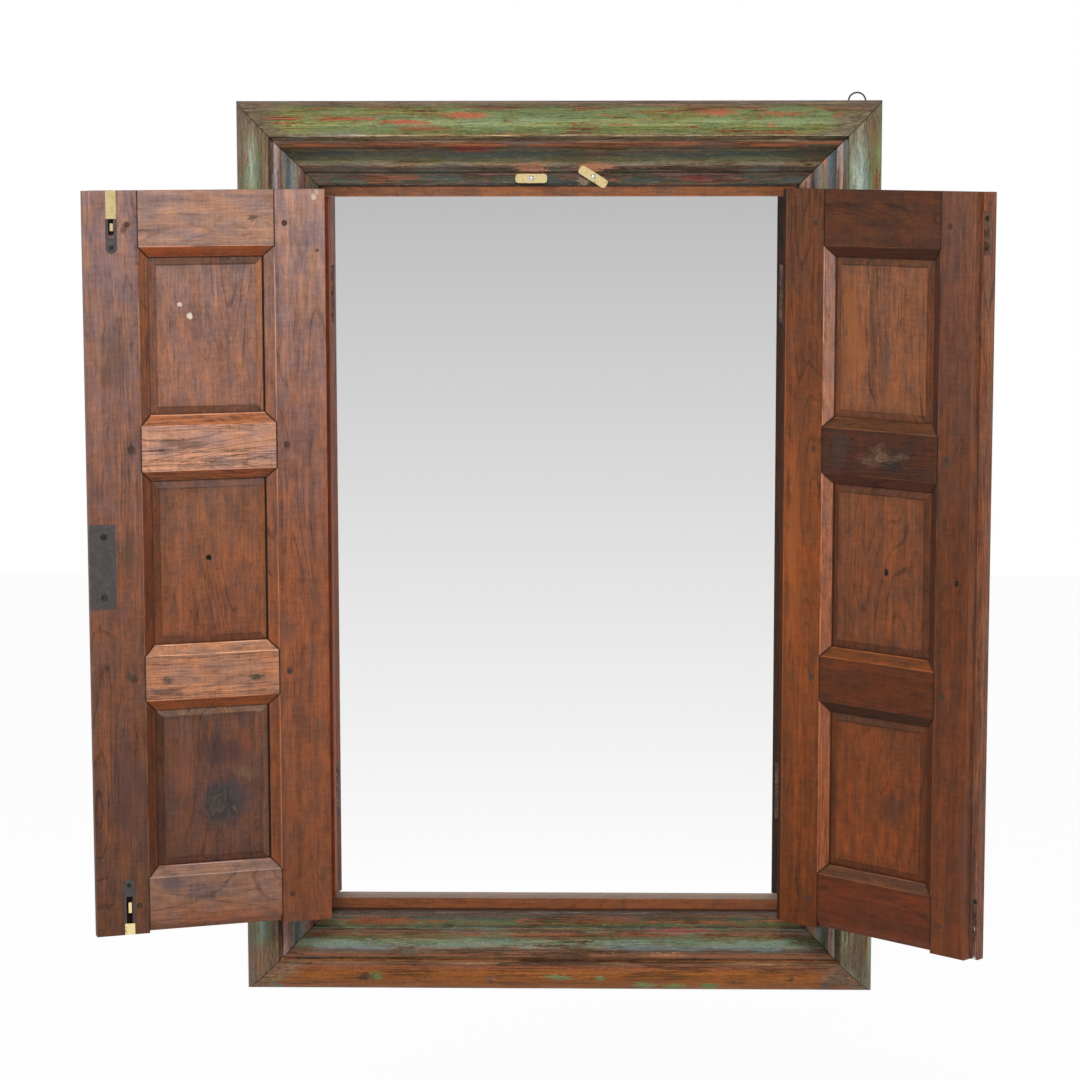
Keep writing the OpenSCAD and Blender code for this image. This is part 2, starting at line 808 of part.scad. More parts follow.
module right_turn_button() {
  at_button(right_button_x, right_button_z) rotate([0, button_tilt, 0]) turn_button();
}

// Screw with a domed head, on which a button turns
module button_screw(x, z) {
  ball = (dome_r * dome_r + dome_h * dome_h) / (2 * dome_h);
  seat = button_t + screw_play;
  at_button(x, z) rotate([90, 0, 0]) difference() {
    union() {
      translate([0, 0, -button_screw_len - button_lift])
        cylinder(r = screw_r, h = button_screw_len + button_lift + seat + dome_h / 2);
      intersection() {
        translate([0, 0, seat + dome_h - ball]) sphere(r = ball);
        translate([0, 0, seat]) cylinder(r = dome_r, h = dome_h);
      }
    }
    translate([-dome_r, -slot_w / 2, seat + dome_h - slot_w]) cube([2 * dome_r, slot_w, dome_h]);
  }
}

module turn_button_screws() {
  color(steel) {
    button_screw(left_button_x, left_button_z);
    button_screw(right_button_x, right_button_z);
  }
}

// Washer that lifts a button clear of the moulding's step
module button_washer(x, z) {
  at_button(x, z) rotate([-90, 0, 0]) difference() {
    translate([0, 0, washer_gap]) cylinder(r = washer_r, h = button_lift - washer_gap);
    cylinder(r = screw_r + screw_play, h = button_lift + over);
  }
}

module turn_button_washers() {
  color(brass) {
    button_washer(left_button_x, left_button_z);
    button_washer(right_button_x, right_button_z);
  }
}

// ---------- hinges: pin at the origin, X towards the leaf, Y towards the wall ----------

module at_frame_hinge(side, end) {
  translate([side * pivot_x, -pivot_d, end * hinge_z]) mirror([side < 0 ? 1 : 0, 0, 0]) children();
}

// In leaf coordinates
module at_leaf_hinge(end) {
  translate([-hinge_gap / 2, -pivot_proud, end * hinge_z]) children();
}

module hinge_recess() {
  half = hinge_len / 2 + screw_play;
  box([0, pivot_proud - over, -half], [plate_in, hinge_d + screw_play, half]);
}

module hinge_screws_at() {
  for (i = [-1, 0, 1])
    translate([plate_gap / 2, hinge_screw_v, i * hinge_screw_pitch])
      rotate([0, -90, 0]) children();
}

// One plate of a hinge with its knuckles: every second one from the first given
module hinge_leaf(first) {
  half = hinge_len / 2;
  color(iron) difference() {
    union() {
      box([plate_gap / 2, plate_start, -half], [plate_in, hinge_d, half]);
      for (i = [first : 2 : knuckles - 1]) {
        low = i * knuckle_len - half + knuckle_gap / 2;
        high = (i + 1) * knuckle_len - half - knuckle_gap / 2;
        translate([0, 0, low]) cylinder(r = knuckle_r, h = high - low);
        box([plate_gap / 2, 0, low], [plate_in, plate_start + web_overlap, high]);
      }
    }
    translate([0, 0, -half - over]) cylinder(r = pin_r + pin_fit, h = hinge_len + 2 * over);
    hinge_screws_at() screw_bore(screw_r, screw_head_r, screw_len);
  }
}

module top_left_hinge_frame_leaf() {
  at_frame_hinge(-1, 1) hinge_leaf(0);
}

module bottom_left_hinge_frame_leaf() {
  at_frame_hinge(-1, -1) hinge_leaf(0);
}

module top_right_hinge_frame_leaf() {
  at_frame_hinge(1, 1) hinge_leaf(0);
}

module bottom_right_hinge_frame_leaf() {
  at_frame_hinge(1, -1) hinge_leaf(0);
}

module hinge_pins() {
  color(iron) for (side = [-1, 1]) for (end = [-1, 1]) at_frame_hinge(side, end) {
    translate([0, 0, -hinge_len / 2]) cylinder(r = pin_r, h = pin_len);
    translate([0, 0, hinge_len / 2]) cylinder(r = pin_head_r, h = pin_head_t);
  }
}

module frame_hinge_screws() {
  color(iron) for (side = [-1, 1]) for (end = [-1, 1])
    at_frame_hinge(side, end) hinge_screws_at() screw(screw_r, screw_head_r, screw_len);
}

// ---------- leaves ----------

module on_left_leaf() {
  translate([-pivot_x, -pivot_d, 0]) rotate([0, 0, -left_open])
    translate([hinge_gap / 2, pivot_proud, 0]) children();
}

module on_right_leaf() {
  translate([pivot_x, -pivot_d, 0]) rotate([0, 0, right_open]) mirror([1, 0, 0])
    translate([hinge_gap / 2, pivot_proud, 0]) children();
}

// Block with leaning sides: the rectangle u by z at v0, grown by g all round at v1
module leaning_block(u, z, v0, v1, g) {
  reach = abs(g);
  intersection() {
    translate([0, 0, z[0] - reach]) linear_extrude(z[1] - z[0] + 2 * reach)
      polygon([[u[0], v0], [u[1], v0], [u[1] + g, v1], [u[0] - g, v1]]);
    translate([u[0] - reach, 0, 0]) rotate([90, 0, 90]) linear_extrude(u[1] - u[0] + 2 * reach)
      polygon([[v0, z[0]], [v0, z[1]], [v1, z[1] + g], [v1, z[0] - g]]);
  }
}

// Outline in X and Z given the leaf's thickness
module board_of(points) {
  translate([0, leaf_t, 0]) rotate([90, 0, 0]) linear_extrude(leaf_t) polygon(points);
}

// Chamfers and grooves round the panels, cut from stiles and rails alike
module panel_cuts(u, openings) {
  groove = tongue_in + groove_spare;
  slope = chamfer_w / chamfer_d;
  for (z = openings) {
    leaning_block(u, z, leaf_t - chamfer_d, leaf_t + over, chamfer_w + over * slope);
    leaning_block(u, z, outer_chamfer, -over, outer_chamfer + over);
    box([u[0] - groove, tongue_v - tongue_play / 2, z[0] - groove],
      [u[1] + groove, tongue_v + tongue_t + tongue_play / 2, z[1] + groove]);
  }
}

// Pegs at both ends of each rail's tenons
module pegs_at(u, openings) {
  for (r = rails_of(openings))
    for (x = [u[0] - chamfer_w - peg_in, u[1] + chamfer_w + peg_in])
      translate([x, 0, peg_z(r)]) rotate([-90, 0, 0]) children();
}

module peg_bores(u, openings) {
  pegs_at(u, openings) translate([0, 0, -over])
    cylinder(r = peg_r + screw_play, h = leaf_t + 2 * over);
}

module pegs(u, openings) {
  color("saddlebrown") pegs_at(u, openings) cylinder(r = peg_r, h = leaf_t);
}

// Both tenons of a rail, or their mortises with some play
module tenons(u, r, play) {
  a = u[0] - chamfer_w;
  b = u[1] + chamfer_w;
  v0 = tenon_v - play;
  v1 = tenon_v + tenon_t + play;
  box([a - tenon_len - play, v0, tenon_low(r) - play], [a + over, v1, tenon_high(r) + play]);
  box([b - over, v0, tenon_low(r) - play], [b + tenon_len + play, v1, tenon_high(r) + play]);
}

module rail(u, openings, index) {
  r = rails_of(openings)[index];
  a = u[0] - chamfer_w;
  b = u[1] + chamfer_w;
  low = r[0] + r[2] * chamfer_w;
  high = r[1] - r[3] * chamfer_w;
  color(teak) difference() {
    union() {
      board_of([[a, low], [u[0], r[0]], [u[1], r[0]], [b, low], [b, high], [u[1], r[1]],
        [u[0], r[1]], [a, high]]);
      tenons(u, r, 0);
    }
    panel_cuts(u, openings);
    peg_bores(u, openings);
    if (index == 3) drip_bevel(u, r[0]);
  }
}

// Sloping lower edge of a bottom rail, on the inside
module drip_bevel(u, low) {
  translate([u[0] - chamfer_w - over, 0, 0]) rotate([90, 0, 90])
    linear_extrude(u[1] - u[0] + 2 * (chamfer_w + over))
      polygon([[leaf_t + over, low - over], [leaf_t + over, low + drip_h], [leaf_t, low + drip_h],
        [leaf_t - drip_d, low], [leaf_t - drip_d, low - over]]);
}

module hinge_stile(u, openings) {
  flat = u[0] - chamfer_w;
  color(teak) difference() {
    board_of(concat([[0, leaf_foot], [0, leaf_top], [flat, leaf_top]],
      inner_edge(flat, u[0], openings), [[flat, leaf_foot]]));
    panel_cuts(u, openings);
    for (r = rails_of(openings)) tenons(u, r, tenon_play);
    peg_bores(u, openings);
    for (end = [-1, 1]) at_leaf_hinge(end) {
      hinge_recess();
      hinge_screws_at() screw_bore(screw_r, screw_head_r, screw_len);
    }
  }
}

module meeting_stile(u, openings) {
  flat = u[1] + chamfer_w;
  color(teak) difference() {
    board_of(concat([[leaf_w, leaf_foot], [leaf_w, leaf_top], [flat, leaf_top]],
      inner_edge(flat, u[1], openings), [[flat, leaf_foot]]));
    panel_cuts(u, openings);
    for (r = rails_of(openings)) tenons(u, r, tenon_play);
    peg_bores(u, openings);
  }
}

// Raised panel: tongue all round, sloping margin and flat field
module panel(u, openings, index) {
  z = openings[index];
  inset = [margin_gap, -margin_gap];
  color(teak) {
    box([u[0] - tongue_in, tongue_v, z[0] - tongue_in],
      [u[1] + tongue_in, tongue_v + tongue_t, z[1] + tongue_in]);
    leaning_block(u + inset, z + inset, tongue_v + tongue_t, tongue_v + tongue_t + field_rise,
      -margin_w);
  }
}

// ---------- left leaf ----------

module left_hinge_stile() {
  on_left_leaf() hinge_stile(left_u, left_open_z);
}

module left_meeting_stile() {
  on_left_leaf() difference() {
    meeting_stile(left_u, left_open_z);
    box([shoulder_u, -over, leaf_foot - over], [leaf_w + over, lap_t + lap_gap, leaf_top + over]);
    lock_recess();
    lock_screws_at() screw_bore(big_screw_r, big_head_r, big_screw_len);
    at_top_bolt() bolt_groove(top_bar_len, top_plate_len);
    at_bottom_bolt() bolt_groove(bottom_bar_len, bottom_plate_len);
  }
}

module left_top_rail() {
  on_left_leaf() difference() {
    rail(left_u, left_open_z, 0);
    at_top_bolt() bolt_screw_at(top_bar_len, top_plate_len)
      screw_bore(screw_r, screw_head_r, screw_len);
  }
}

module left_upper_mid_rail() {
  on_left_leaf() rail(left_u, left_open_z, 1);
}

module left_lower_mid_rail() {
  on_left_leaf() rail(left_u, left_open_z, 2);
}

module left_bottom_rail() {
  on_left_leaf() difference() {
    rail(left_u, left_open_z, 3);
    at_bottom_bolt() bolt_screw_at(bottom_bar_len, bottom_plate_len)
      screw_bore(screw_r, screw_head_r, screw_len);
  }
}

module left_top_panel() {
  on_left_leaf() panel(left_u, left_open_z, 0);
}

module left_middle_panel() {
  on_left_leaf() panel(left_u, left_open_z, 1);
}

module left_bottom_panel() {
  on_left_leaf() panel(left_u, left_open_z, 2);
}

module left_tenon_pegs() {
  on_left_leaf() pegs(left_u, left_open_z);
}

module top_left_hinge_door_leaf() {
  on_left_leaf() at_leaf_hinge(1) hinge_leaf(1);
}

module bottom_left_hinge_door_leaf() {
  on_left_leaf() at_leaf_hinge(-1) hinge_leaf(1);
}

// Lock plate, let into the tongue of the left leaf's inside face
module lock_recess() {
  box([leaf_w - lock_w - screw_play, leaf_t - lock_t, lock_z - lock_h / 2 - screw_play],
    [leaf_w + over, leaf_t + over, lock_z + lock_h / 2 + screw_play]);
}

module lock_screws_at() {
  for (side = [-1, 1])
    translate([leaf_w - lock_screw_edge, leaf_t, lock_z + side * (lock_h / 2 - lock_screw_in)])
      rotate([-90, 0, 0]) children();
}

module lock_plate() {
  color(iron) on_left_leaf() difference() {
    box([leaf_w - lock_w, leaf_t - lock_t, lock_z - lock_h / 2], [leaf_w, leaf_t, lock_z + lock_h / 2]);
    lock_screws_at() screw_bore(big_screw_r, big_head_r, big_screw_len);
  }
}

// ---------- flush bolts: origin at the leaf's end and inside face, Z out of the leaf ----------

module at_top_bolt() {
  translate([leaf_w - top_bolt_edge, leaf_t, leaf_top]) children();
}

module at_bottom_bolt() {
  translate([leaf_w - bottom_bolt_edge, leaf_t, leaf_foot]) mirror([0, 0, 1]) children();
}

module at_edge_bolt() {
  translate([edge_u, lap_t, leaf_foot]) mirror([0, 0, 1]) children();
}

// Plate with a round inner end, from the bar's end inwards
module plate_outline(w, start, len, t) {
  box([-w / 2, -t, -start - len + w / 2], [w / 2, 0, -start]);
  translate([0, 0, -start - len + w / 2]) rotate([90, 0, 0]) cylinder(r = w / 2, h = t);
}

// Groove in the stile for bar and tail, and the shallow bed of the plate
module bolt_groove(bar_len, plate_len) {
  half = bolt_w / 2 + bolt_play;
  tail = tail_w / 2 + bolt_play;
  start = bar_len + bar_gap;
  box([-half, -bolt_t, -start], [half, over, over]);
  box([-tail, -bolt_t, -start - plate_len + bolt_plate_w + bolt_play], [tail, over, over]);
  plate_outline(bolt_plate_w + 2 * screw_play, start, plate_len, bolt_plate_t);
  bolt_screw_at(bar_len, plate_len) screw_bore(screw_r, screw_head_r, screw_len);
}

module bolt_screw_at(bar_len, plate_len) {
  translate([0, 0, -bar_len - bar_gap - plate_len + bolt_plate_w / 2]) rotate([-90, 0, 0]) children();
}

module bolt_plate(bar_len, plate_len, slot_len) {
  start = bar_len + bar_gap;
  color(iron) difference() {
    plate_outline(bolt_plate_w, start, plate_len, bolt_plate_t);
    box([-bolt_slot_w / 2, -bolt_plate_t - over, -start - slot_len], [bolt_slot_w / 2, over, over - start]);
    bolt_screw_at(bar_len, plate_len) screw_bore(screw_r, screw_head_r, screw_len);
  }
}

// Sliding piece: bar at the face, narrow tail behind the plate, knob through the slot
module bolt(bar_len, knob_in, knob_len) {
  foot = bar_len + knob_in + knob_len + tail_end_gap;
  floor_y = floor_gap - bolt_t;
  box([-bolt_w / 2, floor_y, -bar_len], [bolt_w / 2, 0, 0]);
  box([-tail_w / 2, floor_y, -foot], [tail_w / 2, floor_y + tail_t, over - bar_len]);
  box([-knob_w / 2, floor_y, -bar_len - knob_in - knob_len], [knob_w / 2, knob_proud, -bar_len - knob_in]);
}

module top_bolt_plate() {
  on_left_leaf() at_top_bolt() bolt_plate(top_bar_len, top_plate_len, top_slot_len);
}

module bottom_bolt_plate() {
  on_left_leaf() at_bottom_bolt() bolt_plate(bottom_bar_len, bottom_plate_len, bottom_slot_len);
}

module top_bolt() {
  color(brass) on_left_leaf() at_top_bolt() bolt(top_bar_len, top_knob_in, top_knob_len);
}

module bottom_bolt() {
  color(brass) on_left_leaf() at_bottom_bolt() bolt(bottom_bar_len, bottom_knob_in, bottom_knob_len);
}

module left_screws() {
  color(iron) on_left_leaf() {
    for (end = [-1, 1]) at_leaf_hinge(end) hinge_screws_at() screw(screw_r, screw_head_r, screw_len);
    lock_screws_at() screw(big_screw_r, big_head_r, big_screw_len);
    at_top_bolt() bolt_screw_at(top_bar_len, top_plate_len)
      screw(screw_r, screw_head_r, screw_len);
    at_bottom_bolt() bolt_screw_at(bottom_bar_len, bottom_plate_len)
      screw(screw_r, screw_head_r, screw_len);
  }
}

// ---------- right leaf ----------

module right_hinge_stile() {
  on_right_leaf() hinge_stile(right_u, right_open_z);
}

module right_meeting_stile() {
  on_right_leaf() difference() {
    meeting_stile(right_u, right_open_z);
    box([shoulder_u, lap_t, leaf_foot - over], [leaf_w + over, leaf_t + over, leaf_top + over]);
    keep_body(screw_play, over);
    keep_screws_at() screw_bore(screw_r, keep_head_r, edge_screw_len);
    at_edge_bolt() edge_groove();
    at_edge_bolt() edge_screw_at() screw_bore(screw_r, keep_head_r, edge_screw_len);
  }
}

module right_top_rail() {
  on_right_leaf() rail(right_u, right_open_z, 0);
}

module right_upper_mid_rail() {
  on_right_leaf() rail(right_u, right_open_z, 1);
}

module right_lower_mid_rail() {
  on_right_leaf() rail(right_u, right_open_z, 2);
}

module right_bottom_rail() {
  on_right_leaf() rail(right_u, right_open_z, 3);
}

module right_top_panel() {
  on_right_leaf() panel(right_u, right_open_z, 0);
}

module right_middle_panel() {
  on_right_leaf() panel(right_u, right_open_z, 1);
}

module right_bottom_panel() {
  on_right_leaf() panel(right_u, right_open_z, 2);
}

module right_tenon_pegs() {
  on_right_leaf() pegs(right_u, right_open_z);
}

module top_right_hinge_door_leaf() {
  on_right_leaf() at_leaf_hinge(1) hinge_leaf(1);
}

module bottom_right_hinge_door_leaf() {
  on_right_leaf() at_leaf_hinge(-1) hinge_leaf(1);
}

// Keep plate let into the right leaf's step, near the top
module keep_body(play, rise) {
  high = leaf_top - keep_in;
  box([edge_u - keep_w / 2 - play, lap_t - keep_t, high - keep_len - play],
    [edge_u + keep_w / 2 + play, lap_t + rise, high + play]);
}

module keep_screws_at() {
  high = leaf_top - keep_in;
  for (z = [high - keep_screw_in, high - keep_len + keep_screw_in])
    translate([edge_u, lap_t, z]) rotate([-90, 0, 0]) children();
}

module keep_plate() {
  color(iron) on_right_leaf() difference() {
    keep_body(0, 0);
    keep_screws_at() screw_bore(screw_r, keep_head_r, edge_screw_len);
  }
}

module edge_groove() {
  half = edge_bar_w / 2 + bolt_play;
  tail = edge_knob_w / 2 + bolt_play;
  start = edge_bar_len + bar_gap;
  box([-half, -edge_bar_t, -start], [half, over, over]);
  box([-tail, -edge_bar_t, -start - edge_slot_len - tail_end_gap], [tail, over, over]);
  plate_outline(edge_plate_w + 2 * screw_play, start, edge_plate_len, keep_t);
}

module edge_screw_at() {
  translate([0, 0, edge_screw_in - edge_bar_len - bar_gap - edge_plate_len])
    rotate([-90, 0, 0]) children();
}

module edge_bolt_plate() {
  start = edge_bar_len + bar_gap;
  color(iron) on_right_leaf() at_edge_bolt() difference() {
    plate_outline(edge_plate_w, start, edge_plate_len, keep_t);
    box([-edge_slot_w / 2, -keep_t - over, -start - edge_slot_len], [edge_slot_w / 2, over, over - start]);
    edge_screw_at() screw_bore(screw_r, keep_head_r, edge_screw_len);
  }
}

module edge_bolt() {
  floor_y = floor_gap - edge_bar_t;
  knob_end = edge_bar_len + edge_slot_len / 2 + edge_knob_len / 2;
  tail_half = edge_knob_w / 2;
  color(brass) on_right_leaf() at_edge_bolt() {
    box([-edge_bar_w / 2, floor_y, -edge_bar_len], [edge_bar_w / 2, 0, 0]);
    box([-tail_half, floor_y, -knob_end], [tail_half, floor_y + edge_tail_t, over - edge_bar_len]);
    box([-tail_half, floor_y, -knob_end], [tail_half, edge_knob_proud, edge_knob_len - knob_end]);
  }
}

module right_screws() {
  color(iron) on_right_leaf() {
    for (end = [-1, 1]) at_leaf_hinge(end) hinge_screws_at() screw(screw_r, screw_head_r, screw_len);
    keep_screws_at() screw(screw_r, keep_head_r, edge_screw_len);
    at_edge_bolt() edge_screw_at() screw(screw_r, keep_head_r, edge_screw_len);
  }
}

frame_head();
frame_sill();
frame_left_jamb();
frame_right_jamb();
frame_pegs();
strip_top();
strip_bottom();
strip_left();
strip_right();
mirror_glass();
backing_board();
back_screws();
top_left_hinge_frame_leaf();
bottom_left_hinge_frame_leaf();
top_right_hinge_frame_leaf();
bottom_right_hinge_frame_leaf();
hinge_pins();
frame_hinge_screws();
turn_button_screws();
turn_button_washers();
left_hanger_strap();
right_hanger_strap();
left_hinge_stile();
left_meeting_stile();
left_top_rail();
left_upper_mid_rail();
left_lower_mid_rail();
left_bottom_rail();
left_top_panel();
left_middle_panel();
left_bottom_panel();
left_tenon_pegs();
top_left_hinge_door_leaf();
bottom_left_hinge_door_leaf();
left_screws();
lock_plate();
top_bolt_plate();
bottom_bolt_plate();
top_bolt();
bottom_bolt();
right_hinge_stile();
right_meeting_stile();
right_top_rail();
right_upper_mid_rail();
right_lower_mid_rail();
right_bottom_rail();
right_top_panel();
right_middle_panel();
right_bottom_panel();
right_tenon_pegs();
top_right_hinge_door_leaf();
bottom_right_hinge_door_leaf();
right_screws();
keep_plate();
edge_bolt_plate();
edge_bolt();
left_turn_button();
right_turn_button();
left_hanging_ring();
right_hanging_ring();
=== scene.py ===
"""Looks for a wall mirror made from an old window.

A mitred frame in worn green paint, two panelled teak leaves with brass and iron fittings,
and the glass. Patterns are worked out in millimetres in two systems. A frame member has run
(along it), face (outwards from the opening) and depth (out from the wall). A leaf has
across (from its hinge edge), thick (from its outside face) and up.
"""
import math

import bpy
from mathutils import Matrix, Vector


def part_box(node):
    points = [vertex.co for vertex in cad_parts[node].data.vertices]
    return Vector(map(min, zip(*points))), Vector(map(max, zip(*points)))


bl_info = {
    "name": "Shutter Mirror",
    "version": (1, 0, 0),
    "blender": (4, 5, 0),
    "location": "3D View > Sidebar > Shutter Mirror",
    "description": "Dresses a wall mirror made from an old window with paint, wood and metal",
    "category": "Object",
}

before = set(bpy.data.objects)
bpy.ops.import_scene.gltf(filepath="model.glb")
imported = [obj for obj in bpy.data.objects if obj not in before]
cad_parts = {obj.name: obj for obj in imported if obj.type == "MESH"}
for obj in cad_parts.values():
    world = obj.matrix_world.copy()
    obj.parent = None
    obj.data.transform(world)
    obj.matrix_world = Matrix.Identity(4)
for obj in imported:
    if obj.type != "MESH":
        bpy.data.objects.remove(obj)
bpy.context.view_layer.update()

MM = 1000.0
HALF_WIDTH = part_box("frame_right_jamb")[0].x * MM
HALF_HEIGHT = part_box("frame_head")[0].z * MM
FACE_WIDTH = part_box("frame_head")[1].z * MM - HALF_HEIGHT


# ----- colours -----

def shade(red, green, blue):
    """Linear colour of a display colour in 0 to 255: ((c + 0.055) / 1.055) ^ 2.4 above the toe."""
    parts = (c / 255 for c in (red, green, blue))
    return tuple(c / 12.92 if c <= 0.04045 else ((c + 0.055) / 1.055) ** 2.4
                 for c in parts) + (1.0,)


# Bone, mist, haze and light sage also serve as painted light in some of the frame's bands
PAINT_COLOURS = {
    "soot": (34, 28, 25), "dirt": (52, 41, 34), "umber": (86, 64, 48), "clay": (112, 84, 64),
    "tan": (142, 120, 98), "bone": (208, 184, 156), "ochre": (204, 140, 92),
    "olive": (106, 97, 62), "moss": (92, 102, 62), "sage": (120, 127, 78),
    "light_sage": (152, 156, 104), "slate_green": (62, 72, 60), "slate": (78, 78, 68),
    "blue_grey": (88, 98, 102), "pale_green": (122, 132, 108), "mist": (168, 172, 152),
    "grey": (128, 126, 122), "haze": (190, 194, 178), "plum": (110, 76, 72),
    "pale_mauve": (176, 152, 146), "mauve": (152, 112, 104), "salmon": (190, 112, 84),
    "rust": (142, 84, 52), "scratch": (164, 88, 54), "honey": (160, 92, 34),
}


# ----- node maths -----

class Wire:
    """One output socket. Arithmetic on it adds Math nodes."""

    def __init__(self, recipe, socket):
        self.recipe = recipe
        self.socket = socket

    def maths(self, operation, first, second=0.0):
        return self.recipe.node("ShaderNodeMath", {"operation": operation}, {0: first, 1: second})

    def __add__(self, other):
        return self.maths("ADD", self, other)

    __radd__ = __add__

    def __sub__(self, other):
        return self.maths("SUBTRACT", self, other)

    def __rsub__(self, other):
        return self.maths("SUBTRACT", other, self)

    def __mul__(self, other):
        return self.maths("MULTIPLY", self, other)

    __rmul__ = __mul__

    def __truediv__(self, other):
        return self.maths("DIVIDE", self, other)

    def __abs__(self):
        return self.maths("ABSOLUTE", self)

    def or_more(self, other):
        return self.maths("MAXIMUM", self, other)

    def or_less(self, other):
        return self.maths("MINIMUM", self, other)


class Recipe:
    """A node tree being filled, for a material or the world."""

    def __init__(self, owner):
        self.owner = owner
        owner.use_nodes = True
        self.tree = owner.node_tree
        self.tree.nodes.clear()

    def node(self, kind, settings=None, sockets=None, output=0):
        """Add one node: its settings first, then the values or links of its sockets."""
        node = self.tree.nodes.new(kind)
        for name, value in (settings or {}).items():
            if name == "stops":
                stops = node.color_ramp.elements
                while len(stops) < len(value):
                    stops.new(0.5)
                for stop, (place, colour) in zip(stops, value):
                    stop.position = place
                    stop.color = colour
            else:
                setattr(node, name, value)
        for key, value in (sockets or {}).items():
            if isinstance(value, Wire):
                self.tree.links.new(value.socket, node.inputs[key])
            else:
                node.inputs[key].default_value = value
        return Wire(self, node.outputs[output]) if node.outputs else None

    def point(self, x, y, z):
        return self.node("ShaderNodeCombineXYZ", {}, {0: x, 1: y, 2: z})

    def noise(self, place, scale, detail=3.0, roughness=0.5, distortion=0.0):
        return self.node("ShaderNodeTexNoise", {}, {"Vector": place, "Scale": scale,
                         "Detail": detail, "Roughness": roughness, "Distortion": distortion})

    def zigzag(self, value):
        """0 at whole numbers and 1 halfway between them."""
        return self.node("ShaderNodeMath", {"operation": "PINGPONG"}, {0: value, 1: 0.5}) * 2.0

    def root(self, value):
        return self.node("ShaderNodeMath", {"operation": "SQRT"}, {0: value})

    def rise(self, value, low, high):
        """0 at low, 1 at high and an S curve between; low may be the larger."""
        return self.node("ShaderNodeMapRange", {"interpolation_type": "SMOOTHSTEP"},
                         {0: value, 1: low, 2: high})

    def near(self, value, reach):
        """1 where the value is 0, falling to 0 at the reach on both sides."""
        return self.rise(abs(value), reach, reach * 0.35)

    def blend(self, factor, first, second, mode="MIX"):
        return self.node("ShaderNodeMix", {"data_type": "RGBA", "blend_type": mode},
                         {0: factor, 6: first, 7: second}, output=2)

    def scaled(self, colour, factor):
        if not isinstance(colour, Wire):
            colour = colour[:3]
        return self.node("ShaderNodeVectorMath", {"operation": "SCALE"}, {0: colour, 3: factor})

    def ramp(self, value, stops):
        return self.node("ShaderNodeValToRGB", {"stops": stops}, {0: value})

    def spot(self, first, second, mark, soft=0.5):
        """1 in an ellipse (centre 1, centre 2, half 1, half 2), falling to 0 at its edge."""
        c1, c2, h1, h2 = mark
        a = (first - c1) / h1
        b = (second - c2) / h2
        return self.rise(a * a + b * b, 1.0, 1.0 - soft)

    def finish(self, colour, roughness, height=None, lift=0.001, fixed=None):
        """Principled surface from a colour, a roughness and a height in units of lift."""
        sockets = {"Base Color": colour, "Roughness": roughness, **(fixed or {})}
        if height is not None:
            sockets["Normal"] = self.node("ShaderNodeBump", {},
                                          {"Height": height, "Distance": lift, "Strength": 1.0})
        surface = self.node("ShaderNodeBsdfPrincipled", {}, sockets)
        self.node("ShaderNodeOutputMaterial", {}, {"Surface": surface})
        return self.owner


def recipe(name):
    return Recipe(bpy.data.materials.new(name))


def places(r, location=(0, 0, 0), turn=0.0, scale=(MM, MM, MM)):
    """The three coordinates of a point after a turn about the vertical, in millimetres."""
    spot = r.node("ShaderNodeTexCoord", {}, {}, output="Object")
    moved = r.node("ShaderNodeMapping", {"vector_type": "POINT"},
                   {"Vector": spot, "Location": location, "Rotation": (0, 0, turn),
                    "Scale": scale})
    split = r.node("ShaderNodeSeparateXYZ", {}, {0: moved}).socket.node
    return [Wire(r, split.outputs[i]) for i in range(3)]


# ----- the painted frame -----

# Face distance over which a member's colours run, in millimetres
BAND_SPAN = 110.0
